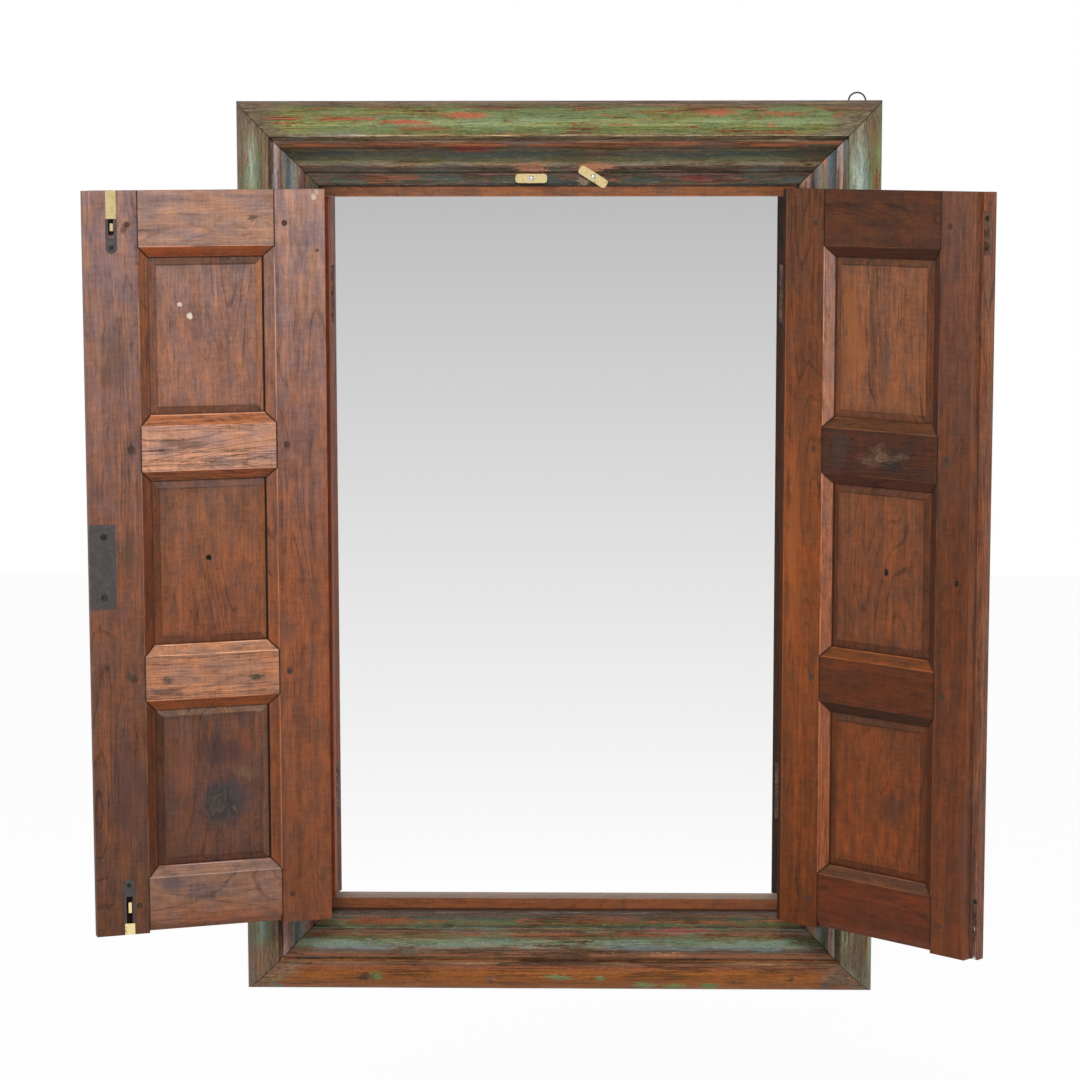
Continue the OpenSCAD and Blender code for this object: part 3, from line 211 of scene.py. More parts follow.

# For each member: whether it stands, which way its face coordinate grows, how far its grain
# is shifted along it, then the paint, the bare wood and the wear, each by face distance.
# Some bands are painted light: bone in the head's quirk against its shadow, and paler bands
# across the ovolos' middles that are painted highlights.
MEMBERS = {
    "frame_head": {
        "upright": False, "side": 1, "shift": 291.0,
        "paint": [(0, "soot"), (2, "soot"), (3.5, "slate"), (8, "slate_green"), (14, "umber"),
                  (17.5, "slate_green"), (19, "umber"), (21, "dirt"), (24, "umber"),
                  (27, "tan"), (31, "olive"), (38, "slate"), (43, "slate"),
                  (45, "tan"), (49, "umber"), (52, "clay"), (54, "plum"), (56, "clay"),
                  # Bone across the quirk (57.5 to 63) is painted light against the quirk's shadow
                  (57.5, "tan"), (59, "bone"), (62, "bone"), (63, "tan"), (67, "sage"),
                  # Light sage round 79, across the ovolo's middle, is partly a painted highlight
                  (73, "sage"), (79, "light_sage"), (84, "sage"), (90, "sage"), (96, "sage"),
                  (101, "olive"), (104, "tan"), (108, "tan")],
        "bare": [(0, "soot"), (2, "soot"), (5, "rust"), (13, "plum"), (19, "umber"),
                 (30, "plum"), (45, "clay"), (48, "clay"), (50, "rust"), (55, "rust"),
                 # Bone across the quirk here too is painted light against its shadow
                 (57, "tan"), (59, "bone"), (62, "bone"), (68, "rust"), (80, "scratch"),
                 (96, "rust"), (103, "tan"), (107, "tan")],
        "wear": [(0, -0.1), (10, 0.0), (20, -0.06), (45, -0.08), (49, 0.03), (55, 0.02),
                 (58, -0.05), (66, -0.07), (90, -0.08), (104, 0.04)],
    },
    "frame_sill": {
        "upright": False, "side": -1, "shift": 1067.0,
        "paint": [(0, "umber"), (2, "clay"), (5, "slate"), (10, "moss"), (15, "olive"),
                  (17.5, "slate"), (19, "pale_green"), (20.5, "clay"), (24, "tan"),
                  (28, "olive"), (33, "olive"), (35, "pale_green"), (40, "pale_green"),
                  (44, "grey"), (47, "clay"), (52, "slate"), (57, "tan"), (58.5, "ochre"),
                  (61, "ochre"), (63, "clay"), (67, "plum"), (80, "moss"), (96, "moss"),
                  (103, "mist"), (107, "dirt")],
        "bare": [(0, "clay"), (3, "clay"), (10, "rust"), (17, "clay"), (20, "clay"),
                 (24, "clay"), (30, "rust"), (38, "clay"), (45, "clay"), (48, "clay"),
                 (53, "rust"), (57, "tan"), (58.5, "ochre"), (61, "ochre"), (63, "clay"),
                 (67, "rust"), (76, "honey"), (94, "honey"), (101, "honey"), (104, "clay"),
                 (108, "umber")],
        "wear": [(0, -0.10), (9, 0.03), (18, -0.08), (22, 0.02), (28, 0.02), (32, -0.08),
                 (46, -0.08), (49, 0.10), (56, 0.10), (62, 0.0), (66, 0.22), (100, 0.20),
                 (105, 0.0)],
    },
    "frame_left_jamb": {
        "upright": True, "side": -1, "shift": 2231.0,
        "paint": [(0, "soot"), (1.5, "slate"), (9, "blue_grey"), (16, "slate"), (18.5, "dirt"),
                  (21, "plum"), (26, "tan"), (32, "grey"), (40, "blue_grey"), (44, "grey"),
                  (47, "mauve"), (52, "pale_mauve"), (56, "pale_mauve"), (58, "plum"),
                  (62, "clay"), (63.5, "tan"), (66, "clay"), (72, "olive"), (79, "pale_green"),
                  # Mist round 86, across the ovolo's middle, is a painted highlight
                  (86, "mist"), (93, "pale_green"), (99, "olive"), (103, "tan"), (108, "tan")],
        "bare": [(0, "dirt"), (5, "umber"), (17, "clay"), (22, "plum"), (30, "clay"),
                 (45, "umber"), (50, "mauve"), (57, "mauve"), (63, "tan"), (70, "clay"),
                 (85, "mauve"), (97, "mauve"), (103, "tan"), (108, "tan")],
        "wear": [(0, -0.06), (18, 0.0), (30, -0.04), (46, -0.1), (50, 0.04), (58, -0.05),
                 (70, -0.06), (90, -0.07), (99, -0.04), (105, 0.02)],
    },
    "frame_right_jamb": {
        "upright": True, "side": 1, "shift": 3589.0,
        "paint": [(0, "soot"), (1.5, "umber"), (8, "clay"), (15, "mauve"), (18.5, "dirt"),
                  (21, "blue_grey"), (28, "tan"), (34, "grey"), (40, "blue_grey"),
                  (45, "slate"), (48, "pale_mauve"), (55, "pale_mauve"), (58, "grey"),
                  # Mist and haze from 66 to 80, across the ovolo's middle, are a painted highlight
                  (62, "pale_green"), (66, "mist"), (70, "mist"), (76, "haze"), (80, "mist"),
                  (88, "pale_green"), (96, "sage"), (103, "light_sage"), (108, "sage")],
        "bare": [(0, "dirt"), (6, "clay"), (14, "mauve"), (19, "umber"), (30, "salmon"),
                 (42, "umber"), (50, "mauve"), (57, "mauve"), (64, "tan"), (72, "clay"),
                 (88, "rust"), (100, "scratch"), (107, "tan")],
        "wear": [(0, 0.0), (16, 0.06), (22, -0.04), (44, -0.1), (50, 0.04), (58, -0.05),
                 (70, -0.06), (92, -0.06), (105, -0.03)],
    },
}

# Marks on each member: (run, face, half run, half face), colour, strength, softness
FRAME_MARKS = {
    "frame_head": [
        ((-33, 22, 19, 8), (165, 112, 86), 0.85, 0.3),
        ((50, 23, 20, 7), (172, 116, 84), 0.9, 0.3), ((31, 6, 8, 6), (150, 128, 100), 0.8, 0.4),
        ((-372, 84, 34, 30), (112, 96, 70), 0.55, 0.9),
        ((372, 88, 34, 26), (116, 98, 76), 0.5, 0.9),
        ((-268, 84, 46, 3.4), (170, 78, 46), 0.9, 0.8),
        ((-196, 80, 40, 3.8), (176, 76, 44), 0.9, 0.8),
        ((-120, 89, 36, 5), (176, 84, 52), 0.85, 0.9),
        ((-170, 72, 44, 4), (150, 80, 46), 0.7, 0.9),
        ((278, 90, 44, 3.6), (168, 84, 52), 0.7, 0.9),
        ((352, 88, 9, 3.5), (190, 88, 56), 0.8, 0.8), ((196, 92, 32, 4), (186, 84, 54), 0.8, 0.9),
        ((266, 76, 6, 3), (188, 104, 64), 0.8, 0.8), ((-64, 82, 5, 2.4), (110, 62, 40), 0.9, 0.7),
        ((120, 86, 12, 6), (150, 124, 74), 0.7, 0.9),
        ((-210, 10, 40, 5), (140, 72, 44), 0.7, 0.8), ((180, 9, 26, 5), (134, 62, 54), 0.7, 0.8),
        ((-108, 46, 34, 4), (172, 50, 46), 0.6, 0.8)],
    "frame_sill": [
        ((-370, 84, 4.5, 7), (186, 168, 84), 0.85, 0.5),
        ((-369, 96, 5, 8), (76, 132, 118), 0.8, 0.5), ((349, 92, 5, 14), (38, 66, 76), 0.85, 0.5),
        ((364, 90, 4, 15), (34, 56, 66), 0.85, 0.5), ((357, 80, 13, 4), (60, 96, 96), 0.7, 0.6),
        ((300, 84, 4.5, 5), (54, 44, 38), 0.9, 0.5), ((-150, 16, 6, 4), (40, 44, 40), 0.8, 0.6),
        ((-88, 89, 4.5, 7), (58, 46, 46), 0.9, 0.6), ((-86, 86, 2, 3), (176, 160, 160), 0.9, 0.6),
        ((228, 91, 22, 2.2), (66, 44, 30), 0.8, 0.7), ((-255, 84, 10, 8), (62, 44, 30), 0.9, 0.6),
        ((-240, 82, 9, 6), (104, 128, 78), 0.85, 0.6),
        ((2, 83, 17, 5), (124, 142, 96), 0.85, 0.6), ((57, 83, 9, 4), (128, 144, 98), 0.8, 0.6),
        ((114, 95, 14, 6), (130, 150, 98), 0.85, 0.6),
        ((148, 97, 15, 6), (122, 144, 88), 0.85, 0.6),
        ((194, 97, 15, 6), (112, 138, 82), 0.8, 0.6),
        ((160, 21, 60, 2.4), (176, 62, 56), 0.8, 0.7), ((60, 8, 60, 7), (140, 74, 46), 0.6, 0.9),
        ((138, 53, 40, 3.6), (186, 124, 82), 0.75, 0.8),
        ((66, 53, 20, 3), (156, 108, 76), 0.7, 0.8), ((110, 27, 60, 3), (160, 92, 54), 0.6, 0.8),
        ((-60, 36, 120, 4), (100, 112, 92), 0.4, 0.9),
        ((-235, 10, 60, 5), (150, 74, 44), 0.8, 0.8)],
    "frame_right_jamb": [
        ((507, 31, 16, 6), (206, 112, 80), 0.85, 0.7),
        ((492, 8, 22, 9), (196, 152, 132), 0.75, 0.8),
        ((-520, 84, 40, 20), (134, 82, 52), 0.6, 0.9)],
    "frame_left_jamb": [
        ((-540, 86, 36, 26), (140, 82, 52), 0.7, 0.9),
        ((552, 92, 24, 16), (138, 104, 84), 0.7, 0.9),
        ((-484, 20, 12, 8), (150, 70, 54), 0.6, 0.8)],
}


def paint_tint(name):
    """A paint or old wood colour from its setting."""
    return tuple(getattr(bpy.context.scene.mirror_paint, name))


def banded(r, value, stops):
    """Colours by face distance, given as a share of the band span."""
    return r.ramp(value, [(place / BAND_SPAN, paint_tint(name)) for place, name in stops])


def painted_member(node, member, wear_shift):
    """Worn paint on a moulded member.

    Paint and bare wood each follow the face distance, shifted a little by long streaks, and
    a sum of streaks, patches and flecks above a threshold shows the wood.
    """
    r = recipe(node)
    x, y, z = places(r)
    upright = member["upright"]
    run = z if upright else x
    half = HALF_HEIGHT if upright else HALF_WIDTH
    edge = HALF_WIDTH if upright else HALF_HEIGHT
    face = (x if upright else z) * member["side"] - edge
    depth = y * -1.0
    shifted_run = run + member["shift"]
    long_grain = r.point(shifted_run / 16, face, depth)
    short_grain = r.point(shifted_run / 4, face, depth)
    drawn = r.point(shifted_run / 40, face, depth)
    streak = r.noise(long_grain, 0.23, 5.0, 0.66)
    thread = r.noise(long_grain, 0.8, 4.0, 0.7)
    patch = r.noise(short_grain, 0.04, 4.0, 0.6, 0.4)
    fleck = r.noise(short_grain, 0.42, 4.0, 0.7)
    drift = r.noise(short_grain, 0.02, 3.0, 0.6)
    lines = r.noise(drawn, 0.2, 5.0, 0.7)
    grit = r.noise(r.point(run / 2, face, depth), 0.45, 4.0, 0.75)

    shifted = face + (streak - 0.5) * 13.0 + (patch - 0.5) * 9.0 + (thread - 0.5) * 5.0
    paint = banded(r, shifted / BAND_SPAN, member["paint"])
    bare = banded(r, (face + (patch - 0.5) * 8.0) / BAND_SPAN, member["bare"])
    bare = r.scaled(bare, 0.35 + streak * 0.8 + thread * 0.5 + (drift - 0.5) * 0.8
                    + (grit - 0.5) * 1.8)
    vein = r.near(lines - 0.5, 0.04) * r.rise(patch, 0.4, 0.55)
    bare = r.blend(vein * 0.62, bare, paint_tint("soot"))
    wear = [(place / BAND_SPAN, (0.5 + amount + wear_shift,) * 3 + (1,))
            for place, amount in member["wear"]]
    wear_level = r.ramp(face / BAND_SPAN, wear)
    raggedness = streak * 0.6 + patch * 0.5 + fleck * 0.34 + thread * 0.2 + wear_level
    worn = r.rise(raggedness, 1.31, 1.35)
    scratched = r.near(lines - 0.56, 0.012) * r.rise(drift, 0.42, 0.52)
    paint = r.scaled(paint, streak * 0.55 + drift * 0.45 + thread * 0.2 + grit * 1.5 - 0.27)
    yellower = r.blend(1.0, paint, shade(255, 250, 216), "MULTIPLY")
    bluer = r.blend(1.0, paint, shade(230, 246, 255), "MULTIPLY")
    warmth = r.rise(patch * 0.6 + fleck * 0.4, 0.44, 0.56)
    paint = r.blend(warmth, bluer, r.scaled(yellower, 1.12))
    paint = r.blend(r.rise(thread, 0.55, 0.7) * 0.45, paint, r.scaled(paint, 1.6))
    paint = r.blend(r.rise(fleck, 0.6, 0.7) * 0.5, paint, paint_tint("mist"))
    paint = r.blend(r.rise(fleck, 0.42, 0.3) * 0.6, paint, paint_tint("dirt"))
    paint = r.blend(r.near(lines - 0.43, 0.02) * 0.7, paint, paint_tint("soot"))
    paint = r.blend(scratched * 0.75, paint, paint_tint("scratch"))
    colour = r.blend(worn, paint, bare)
    for mark, tint, strength, soft in FRAME_MARKS[node]:
        inside = r.spot(run + (patch - 0.5) * 50 + (fleck - 0.5) * 50,
                        face + (grit - 0.5) * 20 + (streak - 0.5) * 12, mark, soft)
        colour = r.blend(inside * strength, colour,
                         r.scaled(shade(*tint), thread * 0.8 + grit * 1.6 - 0.2))

    # Dark line and worn arris at the mitres
    mitre = abs(run) - half - face
    corner_wear = (r.rise(abs(mitre) + (patch - 0.5) * 110, 52.0, 6.0)
                   * r.rise(face + (fleck - 0.5) * 30, 56, 70))
    colour = r.blend(corner_wear * 0.75, colour,
                     r.blend(r.rise(fleck, 0.4, 0.62), paint_tint("umber"),
                             paint_tint("tan")))
    joint = r.near(mitre + (fleck - 0.5) * 1.5, 1.0) * r.rise(depth, 20, 28)
    colour = r.blend(joint * (0.1 + patch * 1.2), colour, paint_tint("soot"))

    # The outer sides and the back are old bare wood, and the reveal is darkened to deep brown
    outer = r.rise(face, FACE_WIDTH - 0.7, FACE_WIDTH - 0.2) * r.rise(depth, 24, 16)
    reveal = r.rise(face, 0.6, 0.2)
    back = r.rise(depth, 3.0, 1.0)
    raw = r.blend(streak, shade(66, 46, 34), shade(136, 94, 64))
    colour = r.blend(outer * 0.55, colour, raw)
    colour = r.blend(reveal * 0.8, colour, shade(58, 38, 28))
    colour = r.blend(back, colour, raw)

    roughness = 0.46 + worn * 0.16 + (fleck - 0.5) * 0.2
    height = worn * -0.35 + thread * 0.7 + fleck * 0.6 + streak * 0.8 - joint * 1.2 - vein * 0.5
    return r.finish(colour, roughness, height, 0.0009, {"Specular IOR Level": 0.3})


# ----- the leaves -----

# Sizes of a leaf in millimetres: across it from its hinge edge, then through its thickness
LEAF_WIDTH = 305.5
HINGE_STILE = 78.0
HINGE_EDGE = 5.4
LEDGE_EDGE = 294.0
INSIDE_FROM = 15.0
PANEL_OUTSIDE = 8.8

# From the rim of a panel's opening, outwards to a chamfer's edge and inwards to the field's
CHAMFER = 13.0
FIELD_EDGE = 10.0

# Pin of the left hinges on the wall frame, which the right ones mirror, and on the leaf
PIN = (-302.25, -60.5, 0.0)
EDGE_TO_PIN = 0.75
FACE_TO_PIN = 4.5

# Where the leaves' grain and the plain pieces' starts, and the step from piece to piece
LEAF_GRAIN_START = 655.0
PLAIN_GRAIN_START = 262.0
GRAIN_STEP = 524.0

# Degrees open at rest, width of the meeting stile, and foot and head of each opening
LEAVES = {
    "left": {"open": 161.0, "meeting": 80.5,
             "openings": [(189.5, 386.5), (-101.5, 106.5), (-386.5, -184.0)]},
    "right": {"open": 138.0, "meeting": 75.5,
              "openings": [(186.0, 386.5), (-105.0, 103.0), (-386.5, -188.0)]},
}

# Pieces of a leaf: grain direction, colours from the bottom up or one where it is even, tints
# of its chamfers from the bottom up, strength of its veins. On the left leaf the colours pale
# and turn pinker towards the top, partly weathering and partly painted sheen from the light
# above; the chamfer tints carry painted light and shade for the way each chamfer faces.
LEAF_WOOD = {
    "left_hinge_stile": ("up", [(126, 77, 52), (148, 94, 69), (172, 140, 132)],
                         [(160, 96, 61), (168, 106, 74), (178, 132, 114)], 0.3),
    "left_meeting_stile": ("up", [(105, 70, 53), (132, 90, 72), (158, 127, 122)],
                           [(110, 62, 36), (125, 69, 44), (159, 104, 73)], 0.5),
    "left_top_rail": ("across", [(172, 138, 124), (172, 138, 124), (174, 140, 126)],
                      [(164, 85, 38), (205, 144, 105)], 0.4),
    "left_upper_mid_rail": ("across", [(200, 154, 134)], [(154, 85, 44), (192, 121, 78)], 1.0),
    "left_lower_mid_rail": ("across", [(189, 136, 108)], [(166, 86, 40), (221, 162, 126)], 0.9),
    "left_bottom_rail": ("across", [(132, 84, 61), (147, 113, 98), (147, 115, 102)],
                         [(107, 67, 47), (167, 132, 119)], 0.4),
    "left_top_panel": ("up", [(162, 117, 99), (162, 119, 103), (158, 126, 117)], None, 0.4),
    "left_middle_panel": ("up", [(138, 85, 61), (142, 92, 68), (133, 96, 78)], None, 0.3),
    "left_bottom_panel": ("up", [(105, 71, 57), (109, 75, 62), (111, 78, 64)], None, 0.4),
    "right_hinge_stile": ("up", [(105, 55, 21), (140, 77, 36), (101, 65, 45)],
                          [(164, 100, 70), (187, 123, 92), (188, 145, 132)], 0.7),
    "right_meeting_stile": ("up", [(111, 61, 34), (104, 59, 33), (113, 78, 65)],
                            [(95, 47, 20), (81, 41, 20), (91, 49, 32)], 0.4),
    "right_top_rail": ("across", [(87, 53, 36)], [(77, 39, 19), (96, 60, 42)], 0.3),
    "right_upper_mid_rail": ("across", [(78, 44, 28)], [(87, 48, 26), (112, 71, 44)], 0.5),
    "right_lower_mid_rail": ("across", [(93, 48, 21)], [(68, 37, 16), (141, 81, 40)], 0.4),
    "right_bottom_rail": ("across", [(98, 47, 19)], [(100, 55, 32), (111, 75, 52)], 0.4),
    "right_top_panel": ("up", [(138, 89, 61), (140, 91, 64), (138, 93, 68)], None, 0.6),
    "right_middle_panel": ("up", [(121, 73, 46), (125, 75, 48), (129, 81, 53)], None, 0.4),
    "right_bottom_panel": ("up", [(129, 69, 34), (124, 67, 34), (122, 69, 36)], None, 0.4),
}

# Colours of the panels' sloping margins: top, foot, hinge side and meeting side. Each holds
# painted light and shade for the way that slope faces, over the wood's own tone.
LIT_AND_SHADED_MARGINS = {
    "left_top_panel": ((112, 77, 58), (138, 96, 76), (202, 140, 106), (136, 94, 78)),
    "left_middle_panel": ((134, 98, 87), (132, 86, 64), (170, 112, 77), (122, 75, 50)),
    "left_bottom_panel": ((154, 117, 94), (108, 72, 56), (148, 105, 80), (92, 58, 44)),
    "right_top_panel": ((108, 72, 52), (130, 84, 60), (140, 92, 64), (112, 66, 42)),
    "right_middle_panel": ((106, 68, 48), (112, 68, 44), (104, 66, 44), (104, 60, 36)),
    "right_bottom_panel": ((102, 66, 44), (112, 64, 36), (118, 72, 42), (104, 58, 30)),
}

# Marks on each piece of a leaf: (across, up, half across, half up), colour, strength, softness
LEAF_MARKS = {
    "left_top_panel": [
        ((185, 327, 3.2, 3.2), (226, 206, 190), 1.0, 0.4),
        ((172, 312, 4.2, 4.2), (234, 214, 196), 1.0, 0.4)],
    "left_hinge_stile": [
        ((15, 460, 4, 4), (216, 196, 184), 0.9, 0.6),
        ((11, 466, 3, 4), (206, 186, 176), 0.7, 0.6), ((11, 393, 4, 2.5), (84, 60, 50), 0.8, 0.7),
        ((51.5, 146, 7, 8), (76, 58, 50), 0.6, 0.8), ((51.6, -139, 6, 7), (80, 60, 50), 0.6, 0.8)],
    "left_meeting_stile": [
        ((249.6, 147, 7, 7), (66, 56, 48), 0.75, 0.7),
        ((253.7, -141, 7, 7), (70, 60, 50), 0.7, 0.8),
        ((262, -280, 26, 90), (88, 62, 58), 0.55, 1.0),
        ((256, 424, 6, 8), (60, 52, 48), 0.6, 0.8), ((270, 262, 22, 50), (98, 74, 62), 0.5, 1.0),
        ((258, 14, 14, 20), (92, 70, 50), 0.6, 1.0)],
    "left_middle_panel": [((153, 7, 3.4, 3.8), (14, 10, 9), 1.0, 0.3)],
    "left_bottom_panel": [
        ((142, -242, 44, 22), (74, 52, 52), 0.7, 1.0),
        ((192, -262, 20, 40), (134, 82, 58), 0.4, 1.0),
        ((110, -228, 10, 22), (142, 76, 50), 0.4, 1.0),
        ((134, -306, 44, 30), (70, 68, 72), 0.7, 1.0),
        ((110, -270, 20, 9), (126, 98, 72), 0.5, 1.0),
        ((124, -318, 2.5, 4), (176, 160, 140), 0.7, 0.8)],
    "left_upper_mid_rail": [
        ((184, 152, 34, 6), (104, 78, 66), 0.7, 0.8),
        ((150, 128, 60, 4), (120, 92, 80), 0.6, 0.8)],
    "left_lower_mid_rail": [
        ((212, -160, 22, 9), (92, 70, 66), 0.75, 0.8), ((96, -148, 9, 4), (82, 72, 52), 0.8, 0.8)],
    "left_bottom_rail": [((208, -408, 18, 16), (92, 78, 82), 0.6, 0.9)],
    "right_middle_panel": [((164, -1.5, 3.2, 5), (12, 9, 8), 1.0, 0.3)],
    "right_meeting_stile": [
        ((274, -4.4, 3.2, 4), (14, 11, 9), 1.0, 0.4),
        ((256.4, 142.9, 7, 8), (74, 66, 62), 0.7, 0.8),
        ((292, -340, 10, 120), (78, 58, 54), 0.5, 1.0)],
    "right_upper_mid_rail": [
        ((170, 138, 12, 16), (48, 36, 32), 0.85, 0.9),
        ((150, 140, 34, 10), (120, 88, 66), 0.5, 0.9),
        ((92, 150, 18, 34), (64, 54, 46), 0.6, 1.0)],
    "right_top_panel": [
        ((106, 290, 18, 90), (158, 94, 50), 0.6, 1.0),
        ((138, 300, 7, 100), (72, 50, 36), 0.5, 1.0),
        ((160, 262, 10, 40), (92, 72, 60), 0.6, 1.0)],
    "right_hinge_stile": [((20, 20, 14, 190), (166, 92, 44), 0.5, 1.0)],
    "right_bottom_panel": [((176, -300, 26, 24), (70, 46, 34), 0.6, 1.0)],
}

# Colours of a knot's body and heart
COLD_KNOT = ((58, 58, 62), (82, 72, 58))
WARM_KNOT = ((62, 42, 30), (132, 98, 78))
CRACKED_KNOT = ((44, 36, 28), (40, 42, 36))

# Knots on each piece: (across, up, reach across, reach up), colours
KNOTS = {
    "left_bottom_panel": [((140, -308, 34, 42), COLD_KNOT)],
    "right_upper_mid_rail": [((165, 141, 44, 22), WARM_KNOT), ((176, 136, 17, 15), CRACKED_KNOT)],
    "left_lower_mid_rail": [((92, -148, 9, 5), COLD_KNOT), ((210, -146, 9, 6), COLD_KNOT)],
    "left_top_rail": [((92, 434, 8, 5), COLD_KNOT)],
}


def leaf_places(r, side):
    """Across, thick and up on a leaf, by undoing its turn about the pin."""
    sign = 1 if side == "left" else -1
    turn = math.radians(LEAVES[side]["open"])
    home = Matrix.Rotation(turn, 3, "Z") @ Vector(PIN)
    location = (-home.x - EDGE_TO_PIN, -home.y - FACE_TO_PIN, 0.0)
    return places(r, location, turn, (sign * MM, MM, MM))


def panel_distance(side, across, up):
    """Distance outside the nearest panel opening, across and up; negative inside."""
    beside = (HINGE_STILE - across).or_more(across - (LEAF_WIDTH - LEAVES[side]["meeting"]))
    gaps = [(foot - up).or_more(up - head) for foot, head in LEAVES[side]["openings"]]
    return beside, gaps[0].or_less(gaps[1]).or_less(gaps[2])


def wood_tones(r, cross, thick, moved, base, contrast, veins=0.3):
    """Old wood along its grain; moved is the distance along it, shifted for the piece.

    Broad bands, streaks and fibres lighten and darken the base, contours of a smooth field
    make the rings, and contours of a rougher one make dark weathered veins in groups.
    """
    grain = r.point(cross, thick * 0.7, moved / 18)
    slow = r.point(cross, thick * 0.7, moved / 6)
    drawn = r.point(cross, thick, moved / 34)
    cloud = r.noise(r.point(cross, thick, moved / 1.8), 0.035, 4.0, 0.6)
    mottle = r.noise(r.point(cross, thick, moved / 3.5), 0.13, 4.0, 0.75)
    ripple = r.noise(r.point(cross / 7, thick, moved), 0.3, 3.0, 0.6)
    broad = r.noise(drawn, 0.07, 3.0, 0.6)
    field = r.noise(slow, 0.013, 1.0, 0.4)
    rings = r.zigzag(field * 26.0 + cloud * 0.5 + broad * 0.5)
    tone = r.noise(slow, 0.022, 3.0, 0.55)
    ring = r.rise(rings, 0.22, 0.04) * r.rise(tone, 0.42, 0.6)
    streak = r.noise(grain, 0.24, 5.0, 0.72)
    fibre = r.noise(grain, 0.75, 4.0, 0.8)
    vein = r.near(r.noise(drawn, 0.16, 5.0, 0.68) - 0.5, 0.035) * r.rise(broad, 0.44, 0.58)
    grit = r.noise(r.point(cross, thick, moved / 2), 0.6, 3.0, 0.75)
    level = (1.0 + ((streak - 0.5) * 0.8 + (broad - 0.5) * 0.9 + (mottle - 0.5) * 1.1
                    + (ripple - 0.5) * 0.5 + (cloud - 0.5) * 0.7 - ring * 0.3) * contrast
             + (fibre - 0.5) * 0.55 + (grit - 0.5) * 0.7 - vein * (0.62 * veins))
    warm = r.blend(1.0, base, shade(255, 236, 212), "MULTIPLY")
    cool = r.blend(1.0, base, shade(238, 240, 250), "MULTIPLY")
    hue = r.noise(r.point(cross, thick, moved / 2), 0.05, 3.0, 0.65)
    mood = hue * 0.6 + broad * 0.2 + mottle * 0.2
    colour = r.blend(r.rise(mood, 0.4, 0.6), r.scaled(cool, 0.97), r.scaled(warm, 1.12))
    colour = r.scaled(colour, level.or_more(0.12))
    colour = r.blend(r.rise(cloud, 0.54, 0.72) * 0.45, colour, r.scaled(colour, 0.62))
    return colour, streak, fibre, ring, cloud, mottle


def knot(r, colour, first, second, mark, tints):
    """A knot: uneven rings round its centre, a heart in the middle, nothing at its reach."""
    c1, c2, h1, h2 = mark
    body, core = tints
    a = (first - c1) / h1
    b = (second - c2) / h2
    wander = r.noise(r.point(a, b, c1), 1.5, 4.0, 0.65)
    reach = r.root(a * a + b * b) + (wander - 0.5) * 2.2
    wave = r.zigzag(reach * 2.6)
    dark = r.blend(0.6, r.scaled(colour, 0.5 + wave * 0.5),
                   r.scaled(shade(*body), 0.75 + wave * 0.6))
    heart = r.rise(reach + (wander - 0.5) * 1.5, 0.6, 0.0)
    dark = r.blend(heart * 0.7, dark, r.scaled(shade(*core), 0.55 + wave * 0.7))
    return r.blend(r.rise(reach, 1.15, 0.35) * 0.9, colour, dark)


